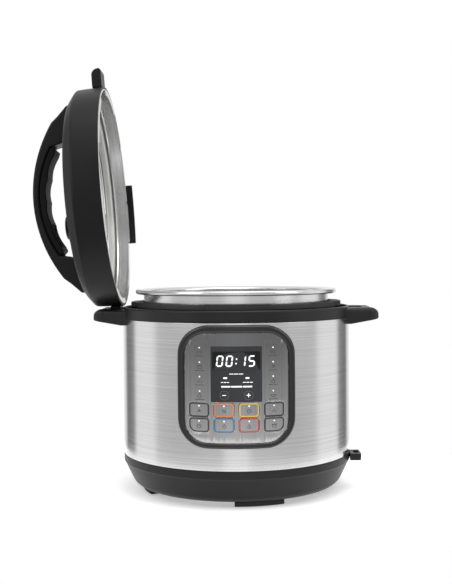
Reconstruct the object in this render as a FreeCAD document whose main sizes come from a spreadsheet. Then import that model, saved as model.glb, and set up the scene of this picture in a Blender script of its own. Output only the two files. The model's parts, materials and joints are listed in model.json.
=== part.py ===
import FreeCAD, Part
import math
import os
import Sketcher

# Electric pressure cooker with its lid parked upright in the left handle.
# Millimetres and degrees. +Z is up, the front panel faces -Y, and the origin is on the
# cooker's own axis at the height of the surface that its feet stand on.

Vector = FreeCAD.Vector
Turn = FreeCAD.Rotation
Place = FreeCAD.Placement

driving_sizes = [
    ("foot_height", 6, "feet, from the floor to the base"),
    ("foot_inner", 101, "radius of a foot's inner edge"),
    ("foot_outer", 114, "radius of a foot's outer edge"),
    ("foot_sweep", 30, "angle that one foot covers"),
    ("foot_turn", 13, "angle of the front foot from straight ahead"),
    ("base_height", 38, "black base, from its underside to the steel shell"),
    ("base_band", 9, "upright band at the top of the base"),
    ("base_step", 1.2, "step below that band"),
    ("base_wall", 2.6, "wall of the base"),
    ("base_bottom_radius", 117.5, "outside of the base at its underside"),
    ("base_opening", 100, "radius of the opening in the underside"),
    ("cover_sheet", 1.2, "thickness of the bottom cover"),
    ("cover_radius", 112, "radius of the bottom cover"),
    ("cover_screw_radius", 107, "radius of the circle of cover screws"),
    ("screw_shank", 1.6, "radius of a screw's shank"),
    ("screw_head", 3.2, "radius of a screw's head"),
    ("shell_radius", 136, "outside of the steel shell"),
    ("shell_wall", 0.8, "steel sheet of the shell"),
    ("shell_height", 160, "height of the steel shell"),
    ("ring_height", 13.5, "height of the black top ring"),
    ("ring_floor", 4, "thickness of the top ring's floor"),
    ("ring_wall", 2.8, "wall round the top ring"),
    ("chamber_radius", 114, "inside of the outer pot"),
    ("chamber_wall", 1, "wall of the outer pot"),
    ("chamber_floor", 61, "underside of the outer pot above the floor"),
    ("chamber_floor_wall", 2, "thickness of the outer pot's floor"),
    ("bayonet_hub", 4.3, "wall of the bayonet ring's hub"),
    ("bayonet_radius", 126, "outside of the bayonet ring's lugs"),
    ("bayonet_root", 121.4, "outside of the bayonet ring between its lugs"),
    ("bayonet_height", 6, "thickness of the bayonet lugs"),
    ("lug_gap", 36, "angle between two lugs of the bayonet ring"),
    ("plate_radius", 86, "radius of the heating plate"),
    ("plate_height", 9, "thickness of the heating plate"),
    ("plate_lift", 6, "gap between the outer pot's floor and the plate"),
    ("element_radius", 70, "radius of the heating ring's middle line"),
    ("element_width", 8, "width of the heating ring"),
    ("element_height", 4.5, "height of the heating ring"),
    ("terminal_radius", 3, "radius of a terminal of the heating ring"),
    ("terminal_spread", 12, "terminals, out from the middle"),
    ("terminal_low", 48, "lower end of the terminals above the floor"),
    ("plate_foot_circle", 42, "radius of the circle of the plate's feet"),
    ("plate_foot_radius", 6, "radius of a foot of the heating plate"),
    ("sensor_hole", 15.5, "radius of the hole in the heating plate"),
    ("sensor_gap", 1.5, "gap round the temperature sensor"),
    ("pot_radius", 111, "outside of the inner pot"),
    ("pot_wall", 0.8, "wall of the inner pot"),
    ("pot_bottom", 2.2, "thickness of the inner pot's bottom"),
    ("pot_corner", 13, "radius of the inner pot's lower corner"),
    ("pot_rise", 20.5, "top of the inner pot's rim above the top ring"),
    ("pot_rim_radius", 120.5, "outside of the inner pot's rim"),
    ("pot_rim_height", 5.5, "thickness of the rolled rim"),
    ("handle_reach", 33.5, "how far a side handle stands out of the shell"),
    ("handle_width", 84, "width of a side handle"),
    ("handle_drop", 8, "how far a side handle hangs below the top ring"),
    ("handle_top_drop", 2, "top of a side handle below the top of the ring"),
    ("handle_corner", 18, "corner radius of a side handle in plan"),
    ("handle_root", 10, "how far the handle's root is wrapped round the shell"),
    ("handle_taper", 5.5, "rise of the handle's underside towards its tip"),
    ("handle_flare", 6, "how much each side of the handle spreads at its root"),
    ("slot_width", 38, "length of the lid slot in a side handle"),
    ("slot_depth", 15.5, "width of the lid slot in a side handle"),
    ("panel_width", 125, "width of the control panel's frame"),
    ("panel_height", 133, "height of the control panel's frame"),
    ("panel_corner", 28, "corner radius of the frame"),
    ("panel_drop", 2, "top of the frame below the top of the shell"),
    ("panel_stand", 5.5, "how far the frame stands out of the shell"),
    ("face_width", 111.6, "width of the panel's face"),
    ("face_height", 118.4, "height of the panel's face"),
    ("face_corner", 22, "corner radius of the face"),
    ("face_drop", 8.4, "top of the face below the top of the frame"),
    ("face_wall", 2.2, "thickness of the panel's face"),
    ("face_seat", 1, "ledge that the face lies on"),
    ("ledge_width", 3, "width of that ledge"),
    ("window_width", 104, "opening in the steel behind the panel"),
    ("window_height", 106, "height of that opening"),
    ("display_width", 54, "width of the display window"),
    ("display_height", 60, "height of the display window"),
    ("display_drop", 14, "top of the display below the top of the face"),
    ("key_width", 20.6, "width of an outlined key"),
    ("key_height", 14.8, "height of an outlined key"),
    ("key_corner", 3, "corner radius of a key"),
    ("key_gap", 0.4, "gap round a key"),
    ("key_wall", 2, "thickness of a key"),
    ("key_pitch", 26.3, "distance between two keys of a row"),
    ("key_row_pitch", 16.4, "distance between the two rows of keys"),
    ("key_row_rise", 19.4, "middle of the lower row above the foot of the face"),
    ("key_travel_gap", 0.7, "gap between a key and its switch"),
    ("board_sheet", 1.6, "thickness of a circuit board"),
    ("panel_board_depth", 126, "front of the panel's board from the axis"),
    ("panel_board_width", 80, "width of the panel's board"),
    ("panel_board_height", 100, "height of the panel's board"),
    ("power_board_length", 90, "length of the power board"),
    ("power_board_width", 70, "width of the power board"),
    ("board_lift", 12, "gap between the bottom cover and the power board"),
    ("inlet_width", 32, "width of the mains inlet"),
    ("inlet_height", 21, "height of the mains inlet"),
    ("inlet_low", 12.5, "underside of the mains inlet above the floor"),
    ("socket_length", 27, "length of the accessory socket"),
    ("socket_height", 8, "height of the accessory socket"),
    ("socket_reach", 11, "how far the accessory socket stands out"),
    ("collector_width", 48, "width of the condensation collector"),
    ("collector_depth", 22, "depth of the condensation collector"),
    ("collector_height", 46, "height of the condensation collector"),
    ("collector_wall", 1.6, "wall of the condensation collector"),
    ("lid_lean", 4.1, "lean of the parked lid from upright"),
    ("lid_out", 7.5, "parked lid's middle, out from the shell"),
    ("lid_up", 131.6, "parked lid's middle, above the top ring"),
    ("lid_radius", 131.5, "outside of the lid's black cover"),
    ("lid_skirt", 33, "height of the cover's upright skirt"),
    ("lid_shoulder_radius", 116, "radius at the break in the cover's shoulder"),
    ("lid_shoulder_height", 43, "height of that break above the rim"),
    ("lid_top_radius", 80, "radius of the cover's flat top"),
    ("lid_height", 49.2, "height of the flat top above the rim"),
    ("lid_wall", 2.3, "wall of the lid's cover"),
    ("steel_gap", 0.2, "gap between the cover's skirt and the steel lid"),
    ("steel_wall", 1.5, "sheet of the steel lid"),
    ("steel_flange", 121.8, "inner radius of the steel lid's lugs"),
    ("steel_seat", 28.5, "outside of the steel lid over the sealing ring"),
    ("steel_dome", 36, "outside of the steel lid's middle"),
    ("steel_dome_radius", 101, "radius of the steel lid's raised middle"),
    ("steel_lug_gap", 25, "angle between two lugs of the steel lid"),
    ("seal_radius", 108, "inner radius of the sealing ring"),
    ("seal_width", 13, "width of the sealing ring"),
    ("seal_height", 8, "height of the sealing ring"),
    ("seal_lip", 4, "thickness of each of its two lips"),
    ("rack_wire", 1.2, "radius of the wire that holds the sealing ring"),
    ("rack_gap", 0.2, "gap between that wire and the pieces round it"),
    ("post_across", 52.6, "lid posts, along the handle from the lid's middle"),
    ("post_front", -41, "front lid posts from the lid's middle"),
    ("post_back", 1, "rear lid posts from the lid's middle"),
    ("handle_arch", 97.7, "top of the lid's arched handle above the rim"),
    ("handle_arch_radius", 160, "radius of the arch"),
    ("handle_arch_end", 93, "end of the arch from the lid's middle"),
    ("arch_foot", 111.5, "end of the arch's foot from the lid's middle"),
    ("arch_foot_height", 48, "top of that foot above the rim"),
    ("arch_pillar", 4, "how much the finger gap widens towards the cover"),
    ("arch_screw", 74.5, "screw of the arch from the lid's middle"),
    ("arch_width", 38, "width of the arched handle"),
    ("grip_height", 81, "underside of the finger grip above the rim"),
    ("grip_radius", 120, "radius of the finger grip"),
    ("grip_wall", 8.5, "thickness of the finger grip"),
    ("grip_end", 60, "end of the finger grip from the lid's middle"),
    ("grip_lip", 5, "how much longer the grip is on its outer side"),
    ("finger_radius", 15, "radius of one finger hollow"),
    ("finger_depth", 1.4, "depth of one finger hollow"),
    ("fin_length", 22, "how far a fin stands out of the lid"),
    ("fin_width", 34, "width of a fin"),
    ("fin_low", 4.5, "inner face of a fin above the rim"),
    ("fin_high", 16, "outer face of a fin above the rim"),
    ("tab_drop", 7, "how far the rear drip tab reaches past the rim"),
    ("tab_rise", 22, "top of the rear drip tab above the rim"),
    ("tab_wall", 3.2, "thickness of the rear drip tab"),
    ("tab_sweep", 34, "angle that the drip tab covers"),
    ("steam_across", -29, "steam valve along the lid's handle"),
    ("steam_back", 60, "steam valve behind the lid's middle"),
    ("pipe_radius", 5, "outside of the steam pipe"),
    ("pipe_bore", 3, "bore of the steam pipe"),
    ("knob_radius", 15, "radius of the steam release's hub"),
    ("knob_height", 23.5, "height of the steam release"),
    ("knob_length", 24, "reach of the steam release's lever"),
    ("knob_gap", 0.4, "gap between the steam release and the cover"),
    ("shield_radius", 14.5, "outside of the anti-block shield"),
    ("shield_height", 12, "height of the anti-block shield"),
    ("float_across", 10, "float valve along the lid's handle"),
    ("float_pin", 2.5, "radius of the float valve's pin"),
    ("lock_across", 34, "lock bracket's middle along the lid's handle"),
    ("lock_length", 34, "length of the lock bracket"),
    ("lock_width", 14, "width of the lock bracket"),
    ("lock_height", 9.6, "height of the lock bracket"),
    ("lock_stop", 3, "thickness of the bracket's closed end"),
    ("lock_pin_length", 20, "length of the locking pin"),
    ("lock_pin_width", 8, "width of the locking pin"),
    ("lock_pin_height", 6, "height of the locking pin"),
]


class Size:
    # A number together with the sheet expression that it comes from.
    def __init__(self, value, text):
        self.value = value
        self.text = text

    def __add__(self, other):
        other = sized(other)
        return Size(self.value + other.value, f"({self.text} + {other.text})")

    def __radd__(self, other):
        return sized(other) + self

    def __sub__(self, other):
        other = sized(other)
        return Size(self.value - other.value, f"({self.text} - {other.text})")

    def __rsub__(self, other):
        return sized(other) - self

    def __mul__(self, other):
        other = sized(other)
        return Size(self.value * other.value, f"({self.text} * {other.text})")

    def __rmul__(self, other):
        return sized(other) * self

    def __truediv__(self, other):
        other = sized(other)
        return Size(self.value / other.value, f"({self.text} / {other.text})")

    def __neg__(self):
        return Size(-self.value, f"(0 - {self.text})")


def sized(number):
    return number if isinstance(number, Size) else Size(float(number), f"({number})")


def root(number):
    return Size(math.sqrt(number.value), f"sqrt({number.text})")


class Sizes:
    pass


doc = FreeCAD.newDocument("PressureCooker")
sheet = doc.addObject("Spreadsheet::Sheet", "dims")
d = Sizes()
for row, (alias, value, note) in enumerate(driving_sizes, start=1):
    sheet.set(f"A{row}", alias)
    sheet.set(f"B{row}", str(value))
    sheet.setAlias(f"B{row}", alias)
    sheet.set(f"C{row}", note)
    setattr(d, alias, Size(float(value), "dims." + alias))
doc.recompute()

sub_parts = {}


def finished(label, shape, place=None):
    # Gives a finished object its label, which names its file, and its place.
    if place is not None:
        shape.Placement = place
    shape.Label = label
    sub_parts[label] = shape
    return shape


def bind(thing, name, amount):
    thing.setExpression(name, sized(amount).text)


def at(x=0, y=0, z=0, axis=Vector(0, 0, 1), angle=0):
    return Place(Vector(*(sized(n).value for n in (x, y, z))), Turn(axis, sized(angle).value))


def arcMiddle(start, stop, radius):
    # The middle of the arc from start to stop that bulges to the right for a radius above 0.
    chord = stop - start
    half = chord.Length / 2
    rise = abs(radius) - math.sqrt(radius * radius - half * half)
    side = Vector(chord.y, -chord.x, 0).normalize()
    return (start + stop) * 0.5 + side * math.copysign(rise, radius)


def drawOutline(sketch, corners):
    # A corner is (x, y), or (x, y, radius) where an arc leads on to the next corner.
    count = len(corners)
    spots = [Vector(sized(c[0]).value, sized(c[1]).value, 0) for c in corners]
    ends = []
    for i, corner in enumerate(corners):
        start, stop = spots[i], spots[(i + 1) % count]
        edge = Part.LineSegment(start, stop)
        if len(corner) == 3:
            edge = Part.Arc(start, arcMiddle(start, stop, sized(corner[2]).value), stop)
        line = sketch.addGeometry(edge)
        first = 1 if sketch.getPoint(line, 1).distanceToPoint(start) < 0.001 else 2
        ends.append((line, first, 3 - first))
    for i, corner in enumerate(corners):
        line, first, last = ends[i]
        after, after_first, _ = ends[(i + 1) % count]
        sketch.addConstraint(Sketcher.Constraint("Coincident", line, last, after, after_first))
        for kind, amount in (("DistanceX", corner[0]), ("DistanceY", corner[1])):
            rule = Sketcher.Constraint(kind, -1, 1, line, first, sized(amount).value)
            bind(sketch, f"Constraints[{sketch.addConstraint(rule)}]", amount)
        if len(corner) == 3:
            amount = sized(corner[2])
            amount = amount if amount.value > 0 else -amount
            rule = Sketcher.Constraint("Radius", line, amount.value)
            bind(sketch, f"Constraints[{sketch.addConstraint(rule)}]", amount)


def sketched(name, corners, plane):
    body = doc.addObject("PartDesign::Body", name)
    sketch = body.newObject("Sketcher::SketchObject", name + "Sketch")
    origin_plane = [f for f in body.Origin.OriginFeatures if f.Role == plane][0]
    sketch.AttachmentSupport = (origin_plane, [""])
    sketch.MapMode = "FlatFace"
    drawOutline(sketch, corners)
    sketch.Visibility = False
    return body, sketch


def turned(name, corners, sweep=360):
    # Corners are (radius, height), turned about Z from +X towards +Y.
    body, sketch = sketched(name, corners, "XZ_Plane")
    feature = body.newObject("PartDesign::Revolution", name + "Turn")
    feature.Profile = sketch
    feature.ReferenceAxis = (sketch, ["V_Axis"])
    if isinstance(sweep, Size):
        bind(feature, "Angle", sweep)
    else:
        feature.Angle = sweep
    return body


def prism(name, corners, depth, plane="XY_Plane", both=False):
    # XY_Plane is padded up +Z, and XZ_Plane along -Y. With both, it is padded to each side.
    body, sketch = sketched(name, corners, plane)
    feature = body.newObject("PartDesign::Pad", name + "Pad")
    feature.Profile = sketch
    if both:
        feature.SideType = "Symmetric"
    bind(feature, "Length", depth)
    return body


def rounded(width, height, corner, low=0, lower_corner=None):
    # A rectangle centred on x = 0 that stands on y = low, with round corners.
    lower = corner if lower_corner is None else lower_corner
    half = width / 2
    top = low + height
    return [
        (lower - half, low),
        (half - lower, low, lower),
        (half, low + lower),
        (half, top - corner, corner),
        (half - corner, top),
        (corner - half, top, corner),
        (-half, top - corner),
        (-half, low + lower, lower),
    ]


def cylinder(name, radius, height, place=None):
    shape = doc.addObject("Part::Cylinder", name)
    bind(shape, "Radius", radius)
    bind(shape, "Height", height)
    if place is not None:
        shape.Placement = place
    return shape


def box(name, length, width, height, middle_x, middle_y, low):
    # A box about (middle_x, middle_y) that stands on z = low.
    shape = doc.addObject("Part::Box", name)
    bind(shape, "Length", length)
    bind(shape, "Width", width)
    bind(shape, "Height", height)
    corner = (sized(middle_x) - sized(length) / 2, sized(middle_y) - sized(width) / 2, low)
    shape.Placement = at(*corner)
    return shape


def fused(name, shapes):
    feature = doc.addObject("Part::MultiFuse", name)
    feature.Shapes = shapes
    return feature


def cut(name, shape, tools):
    feature = doc.addObject("Part::Cut", name)
    feature.Base = shape
    feature.Tool = tools[0] if len(tools) == 1 else fused(name + "Tools", tools)
    return feature


def common(name, first, second):
    feature = doc.addObject("Part::Common", name)
    feature.Base = first
    feature.Tool = second
    return feature


def grouped(name, shapes):
    # Separate solids that share one node.
    feature = doc.addObject("Part::Compound", name)
    feature.Links = shapes
    return feature


def hoop(name, inner, outer, low, high, sweep=360):
    corners = [(inner, low), (outer, low), (outer, high), (inner, high)]
    return turned(name, corners, sweep)


def spring(name, radius, wire, height, turns, place):
    # A coil of round wire between z = 0 and the height, in its own frame.
    line = doc.addObject("Part::Helix", name + "Line")
    bind(line, "Radius", radius)
    bind(line, "Height", sized(height) - 2 * sized(wire))
    bind(line, "Pitch", (sized(height) - 2 * sized(wire)) / turns)
    line.Placement = at(0, 0, wire)
    ring = doc.addObject("Part::Circle", name + "Ring")
    bind(ring, "Radius", wire)
    ring.Placement = at(radius, 0, wire, Vector(1, 0, 0), 90)
    coil = doc.addObject("Part::Sweep", name)
    coil.Sections = [ring]
    coil.Spine = (line, ["Edge1"])
    coil.Solid = True
    coil.Frenet = True
    coil.Placement = place
    return coil


# Heights above the floor that several pieces share.
base_top = d.foot_height + d.base_height
shell_top = base_top + d.shell_height
ring_top = shell_top + d.ring_height
floor_top = shell_top + d.ring_floor
bayonet_low = ring_top
bayonet_top = ring_top + d.bayonet_height
chamber_outer = d.chamber_radius + d.chamber_wall
chamber_top = bayonet_top - d.bayonet_height / 2
plate_low = d.chamber_floor + d.chamber_floor_wall + d.plate_lift
plate_top = plate_low + d.plate_height
pot_top = ring_top + d.pot_rise
hub_outer = chamber_outer + d.bayonet_hub
panel_top = shell_top - d.panel_drop
panel_low = panel_top - d.panel_height
face_top = panel_top - d.face_drop
face_low = face_top - d.face_height
face_back = d.shell_radius + d.face_seat
face_front = face_back + d.face_wall
frame_front = d.shell_radius + d.panel_stand


def lidPlace():
    # Lid pieces are modelled with the rim at z = 0 and the lid's top up, handle along X.
    lean = -(90 + d.lid_lean.value)
    return at(-(d.shell_radius + d.lid_out), 0, ring_top + d.lid_up, Vector(0, 1, 0), lean)


def buildBase():
    low = d.foot_height
    band_low = base_top - d.base_band
    step_radius = d.shell_radius - d.base_step
    corner_height = low + 5
    corner_radius = d.base_bottom_radius + 6.5
    inner_top = d.shell_radius - d.base_wall
    bowl = turned("baseBowl", [
        (d.base_opening, low),
        (d.base_bottom_radius, low, 9),
        (corner_radius, corner_height),
        (step_radius, band_low - d.base_step),
        (d.shell_radius, band_low),
        (d.shell_radius, base_top),
        (inner_top, base_top),
        (inner_top, band_low),
        (corner_radius - d.base_wall, corner_height + d.base_wall),
        (d.base_bottom_radius - d.base_wall, low + d.base_wall),
        (d.base_opening, low + d.base_wall),
    ])
    opening = box("inletOpening", d.inlet_width, 60, d.inlet_height, 0, d.shell_radius, d.inlet_low)
    holes = [
        cylinder(f"baseScrewHole{n}", d.screw_shank, 20, place)
        for n, place in enumerate(coverScrewPlaces(0))
    ]
    finished("bottom_base", cut("bottomBase", bowl, [opening] + holes))

    cover_low = low + d.base_wall
    cover = cylinder("coverDisc", d.cover_radius, d.cover_sheet, at(0, 0, cover_low))
    vents = [
        box(f"vent{n}", 46, 3, 10, 0, 14 * (n - 2), cover_low - 4)
        for n in range(5)
    ]
    holes = [
        cylinder(f"coverScrewHole{n}", d.screw_shank, 20, place)
        for n, place in enumerate(coverScrewPlaces(0))
    ]
    finished("bottom_cover", cut("bottomCover", cover, vents + holes))

    screws = []
    for n, place in enumerate(coverScrewPlaces(low - 1.2)):
        head = cylinder(f"coverScrewHead{n}", d.screw_head, 1.2, place)
        shank = cylinder(f"coverScrewShank{n}", d.screw_shank, 9, place)
        screws.append(fused(f"coverScrew{n}", [head, shank]))
    finished("cover_screws", grouped("coverScrews", screws))

    feet = []
    for n in range(4):
        foot = hoop(f"foot{n}", d.foot_inner, d.foot_outer, 0, d.foot_height, d.foot_sweep)
        angle = 270 + d.foot_turn + 90 * n - d.foot_sweep / 2
        foot.Placement = at(angle=angle)
        feet.append(foot)
    finished("feet", grouped("feetGroup", feet))


def coverScrewPlaces(height):
    places = []
    for n in range(4):
        angle = math.radians(315 + d.foot_turn.value + 90 * n)
        spot = d.cover_screw_radius
        places.append(at(spot * math.cos(angle), spot * math.sin(angle), height))
    return places


def buildShell():
    wall = hoop("shellWall", d.shell_radius - d.shell_wall, d.shell_radius, base_top, shell_top)
    low = (face_low + face_top) / 2 - d.window_height / 2
    corners = rounded(d.window_width, d.window_height, sized(12), low)
    window = prism("shellWindow", corners, d.shell_radius + 10, "XZ_Plane")
    finished("outer_shell", cut("outerShell", wall, [window]))


def buildTopRing():
    inner = d.shell_radius - d.ring_wall
    finished("top_ring", turned("topRing", [
        (chamber_outer, shell_top),
        (d.shell_radius, shell_top),
        (d.shell_radius, ring_top - 1.5, 1.5),
        (d.shell_radius - 1.5, ring_top),
        (inner, ring_top),
        (inner, floor_top),
        (chamber_outer, floor_top),
    ]))


def sideHandle(name, side):
    top = ring_top - d.handle_top_drop
    low = shell_top - d.handle_drop
    root_x = d.shell_radius - d.handle_root
    tip = d.shell_radius + d.handle_reach
    profile = prism(name + "Profile", [
        (root_x, low),
        (tip - 2, low + d.handle_taper),
        (tip, low + d.handle_taper + 3),
        (tip - 1, top - 4),
        (tip - 9, top),
        (root_x, top),
    ], d.handle_width, "XZ_Plane", both=True)
    half = d.handle_width / 2
    flare = d.handle_flare
    plan = prism(name + "Plan", [
        (root_x, -half - flare),
        (tip - d.handle_corner, flare - half, d.handle_corner),
        (tip, flare - half + d.handle_corner),
        (tip, half - flare - d.handle_corner, d.handle_corner),
        (tip - d.handle_corner, half - flare),
        (root_x, half + flare),
    ], ring_top + 10)
    shape = common(name + "Blank", profile, plan)
    barrel = cylinder(name + "Barrel", d.shell_radius, ring_top + 10)
    slot_middle = d.shell_radius + 0.3 + d.slot_depth / 2
    slot = box(name + "Slot", d.slot_depth, d.slot_width, 60, slot_middle, 0, low - 10)
    shape = cut(name + "Handle", shape, [barrel, slot])
    turn = 0 if side > 0 else 180
    return finished(name + "_handle", shape, at(angle=turn))


def sectors(name, count, inner, outer, low, high, sweep, first):
    # Equal wedges of a hoop, the first one's middle at the angle given.
    shapes = []
    for n in range(count):
        wedge = hoop(f"{name}{n}", inner, outer, low, high, sweep)
        wedge.Placement = at(angle=first + 360 * n / count - sweep / 2)
        shapes.append(wedge)
    return shapes


def buildChamber():
    low = d.chamber_floor
    floor = low + d.chamber_floor_wall
    hole = d.sensor_hole + 0.5
    pot = turned("chamber", [
        (hole, low),
        (d.chamber_radius - 8, low),
        (chamber_outer, low + 9.5),
        (chamber_outer, chamber_top),
        (d.chamber_radius, chamber_top),
        (d.chamber_radius, low + 10),
        (d.chamber_radius - 8, floor),
        (hole, floor),
    ])
    holes = [
        cylinder(f"terminalHole{n}", d.terminal_radius, 20, at(x, -d.element_radius, low - 5))
        for n, x in enumerate((-d.terminal_spread, d.terminal_spread))
    ]
    finished("outer_pot", cut("outerPot", pot, holes))

    ring = turned("bayonetBlank", [
        (chamber_outer, floor_top),
        (hub_outer, floor_top),
        (hub_outer, bayonet_low),
        (d.bayonet_radius, bayonet_low),
        (d.bayonet_radius, bayonet_top),
        (d.chamber_radius, bayonet_top),
        (d.chamber_radius, chamber_top),
        (chamber_outer, chamber_top),
    ])
    gaps = sectors("lugGap", 6, d.bayonet_root, d.bayonet_radius + 5,
                   bayonet_low - 5, bayonet_top + 5, d.lug_gap, 30)
    finished("bayonet_ring", cut("bayonetRing", ring, gaps))


def buildHeater():
    plate = hoop("plateDisc", d.sensor_hole, d.plate_radius, plate_low, plate_top)
    finished("heating_plate", plate)

    ring_low = plate_low - d.element_height
    half = d.element_width / 2
    ring = hoop("elementRing", d.element_radius - half, d.element_radius + half, ring_low, plate_low)
    pins = [
        cylinder(f"terminal{n}", d.terminal_radius, ring_low - d.terminal_low,
                 at(x, -d.element_radius, d.terminal_low))
        for n, x in enumerate((-d.terminal_spread, d.terminal_spread))
    ]
    finished("heating_element", fused("heatingElement", [ring] + pins))

    posts = []
    for n in range(3):
        angle = math.radians(90 + 120 * n)
        spot = d.plate_foot_circle
        place = at(spot * math.cos(angle), spot * math.sin(angle), plate_low - d.plate_lift)
        posts.append(cylinder(f"platePost{n}", d.plate_foot_radius, d.plate_lift, place))
    finished("plate_feet", grouped("plateFeet", posts))


def buildSensor():
    top = plate_top - 0.3
    button_radius = d.sensor_hole - d.sensor_gap
    button_low = top - 5
    holder_low = d.chamber_floor - 18
    holder_floor = holder_low + 2
    stem_low = holder_low - 3
    button = cylinder("sensorDisc", button_radius, 5, at(0, 0, button_low))
    stem = cylinder("sensorStem", 4, button_low - stem_low, at(0, 0, stem_low))
    finished("sensor_button", fused("sensorButton", [button, stem]))

    finished("sensor_holder", turned("sensorHolder", [
        (5, holder_low),
        (19, holder_low),
        (19, d.chamber_floor),
        (17, d.chamber_floor),
        (17, holder_floor),
        (5, holder_floor),
    ]))
    height = button_low - holder_floor - 0.2
    place = at(0, 0, holder_floor + 0.1)
    finished("sensor_spring", spring("sensorSpring", 8, 0.8, height, 5, place))

    switch = box("switchBody", 22, 14, 12, 52, 0, d.chamber_floor - 12)
    plunger = cylinder("switchPlunger", 2, 6, at(52, 0, d.chamber_floor - 18))
    finished("pressure_switch", fused("pressureSwitch", [switch, plunger]))

    fuse = cylinder("fuseBody", 3, 16, at(-60, 20, d.chamber_floor - 5, Vector(1, 0, 0), 90))
    clip = box("fuseClip", 8, 10, 3.5, -60, 12, d.chamber_floor - 3.5)
    finished("thermal_fuse", fused("thermalFuse", [fuse, clip]))


def buildInnerPot():
    inner = d.pot_radius - d.pot_wall
    floor = plate_top + d.pot_bottom
    rim_low = pot_top - d.pot_rim_height
    half = d.pot_rim_height / 2
    finished("inner_pot", turned("innerPot", [
        (0, plate_top),
        (d.pot_radius - d.pot_corner, plate_top, d.pot_corner),
        (d.pot_radius, plate_top + d.pot_corner),
        (d.pot_radius, rim_low),
        (d.pot_rim_radius - half, rim_low, half * 1.0001),
        (d.pot_rim_radius - half, pot_top),
        (inner + 1.5, pot_top, 1.5),
        (inner, pot_top - 1.5),
        (inner, floor + d.pot_corner - d.pot_wall, d.pot_wall - d.pot_corner),
        (inner - d.pot_corner + d.pot_wall, floor),
        (0, floor),
    ]))


def buildPower():
    cover_top = d.foot_height + d.base_wall + d.cover_sheet
    board_low = cover_top + d.board_lift
    along = d.power_board_length / 2 - 6
    across = d.power_board_width / 2 - 6
    posts = [
        cylinder(f"boardPost{n}", 3, d.board_lift, at(x, y, cover_top))
        for n, (x, y) in enumerate(((-along, -across), (along, -across), (along, across), (-along, across)))
    ]
    finished("board_posts", grouped("boardPosts", posts))
    board = box("powerSheet", d.power_board_length, d.power_board_width, d.board_sheet, 0, 0, board_low)
    parts_low = board_low + d.board_sheet
    relay = box("relay", 20, 16, 12, 24, 20, parts_low)
    coil = box("transformer", 24, 20, 13, -26, 18, parts_low)
    can = cylinder("capacitor", 6, 13, at(-8, -22, parts_low))
    finished("power_board", fused("powerBoard", [board, relay, coil, can]))

    # The inlet's face is upright, in line with the base where its top edge leaves it.
    depth = 24
    front = d.shell_radius - d.base_step
    middle = front - depth / 2
    body = box("inletBody", d.inlet_width, depth, d.inlet_height, 0, middle, d.inlet_low)
    cavity = box("inletCavity", d.inlet_width - 7, 17, d.inlet_height - 6,
                 0, front - 8.5, d.inlet_low + 3)
    body = cut("inletShell", body, [cavity])
    pins = [
        box(f"inletPin{n}", 1.6, 13, 4, x, front - 17 + 6.5, d.inlet_low + z)
        for n, (x, z) in enumerate(((-7, 6), (0, 11), (7, 6)))
    ]
    finished("mains_inlet", fused("mainsInlet", [body] + pins))


def curved(name, corners, back, front, low):
    # A plate that follows the shell, cut to the outline given in the panel's front view.
    blank = prism(name + "Blank", corners, frame_front + 10, "XZ_Plane")
    layer = hoop(name + "Layer", back, front, low - 20, low + d.panel_height + 20)
    return common(name, blank, layer)


def keySpots():
    # Across, up, and whether the key ends its row at the lower corner.
    spots = []
    for row in range(2):
        for column in range(4):
            across = d.key_pitch * (column - 1.5)
            up = face_low + d.key_row_rise + d.key_row_pitch * row
            spots.append((across, up, row == 0 and column in (0, 3)))
    return spots


key_names = [
    "key_less", "key_stop_left", "key_stop_right", "key_more",
    "key_light", "key_warm", "key_cook", "key_timer",
]


def keyTurn(across):
    return math.degrees(math.asin(across.value / face_front.value))


def keyBlank(name, grow, back, front, spot):
    across, up, cornered = spot
    width = d.key_width + 2 * grow
    height = d.key_height + 2 * grow
    corners = rounded(width, height, d.key_corner + grow, up - height / 2)
    blank = prism(name + "Blank", corners, frame_front + 10, "XZ_Plane")
    layer = hoop(name + "Layer", back, front, panel_low, panel_top)
    return common(name, blank, layer), at(angle=keyTurn(across))


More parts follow.
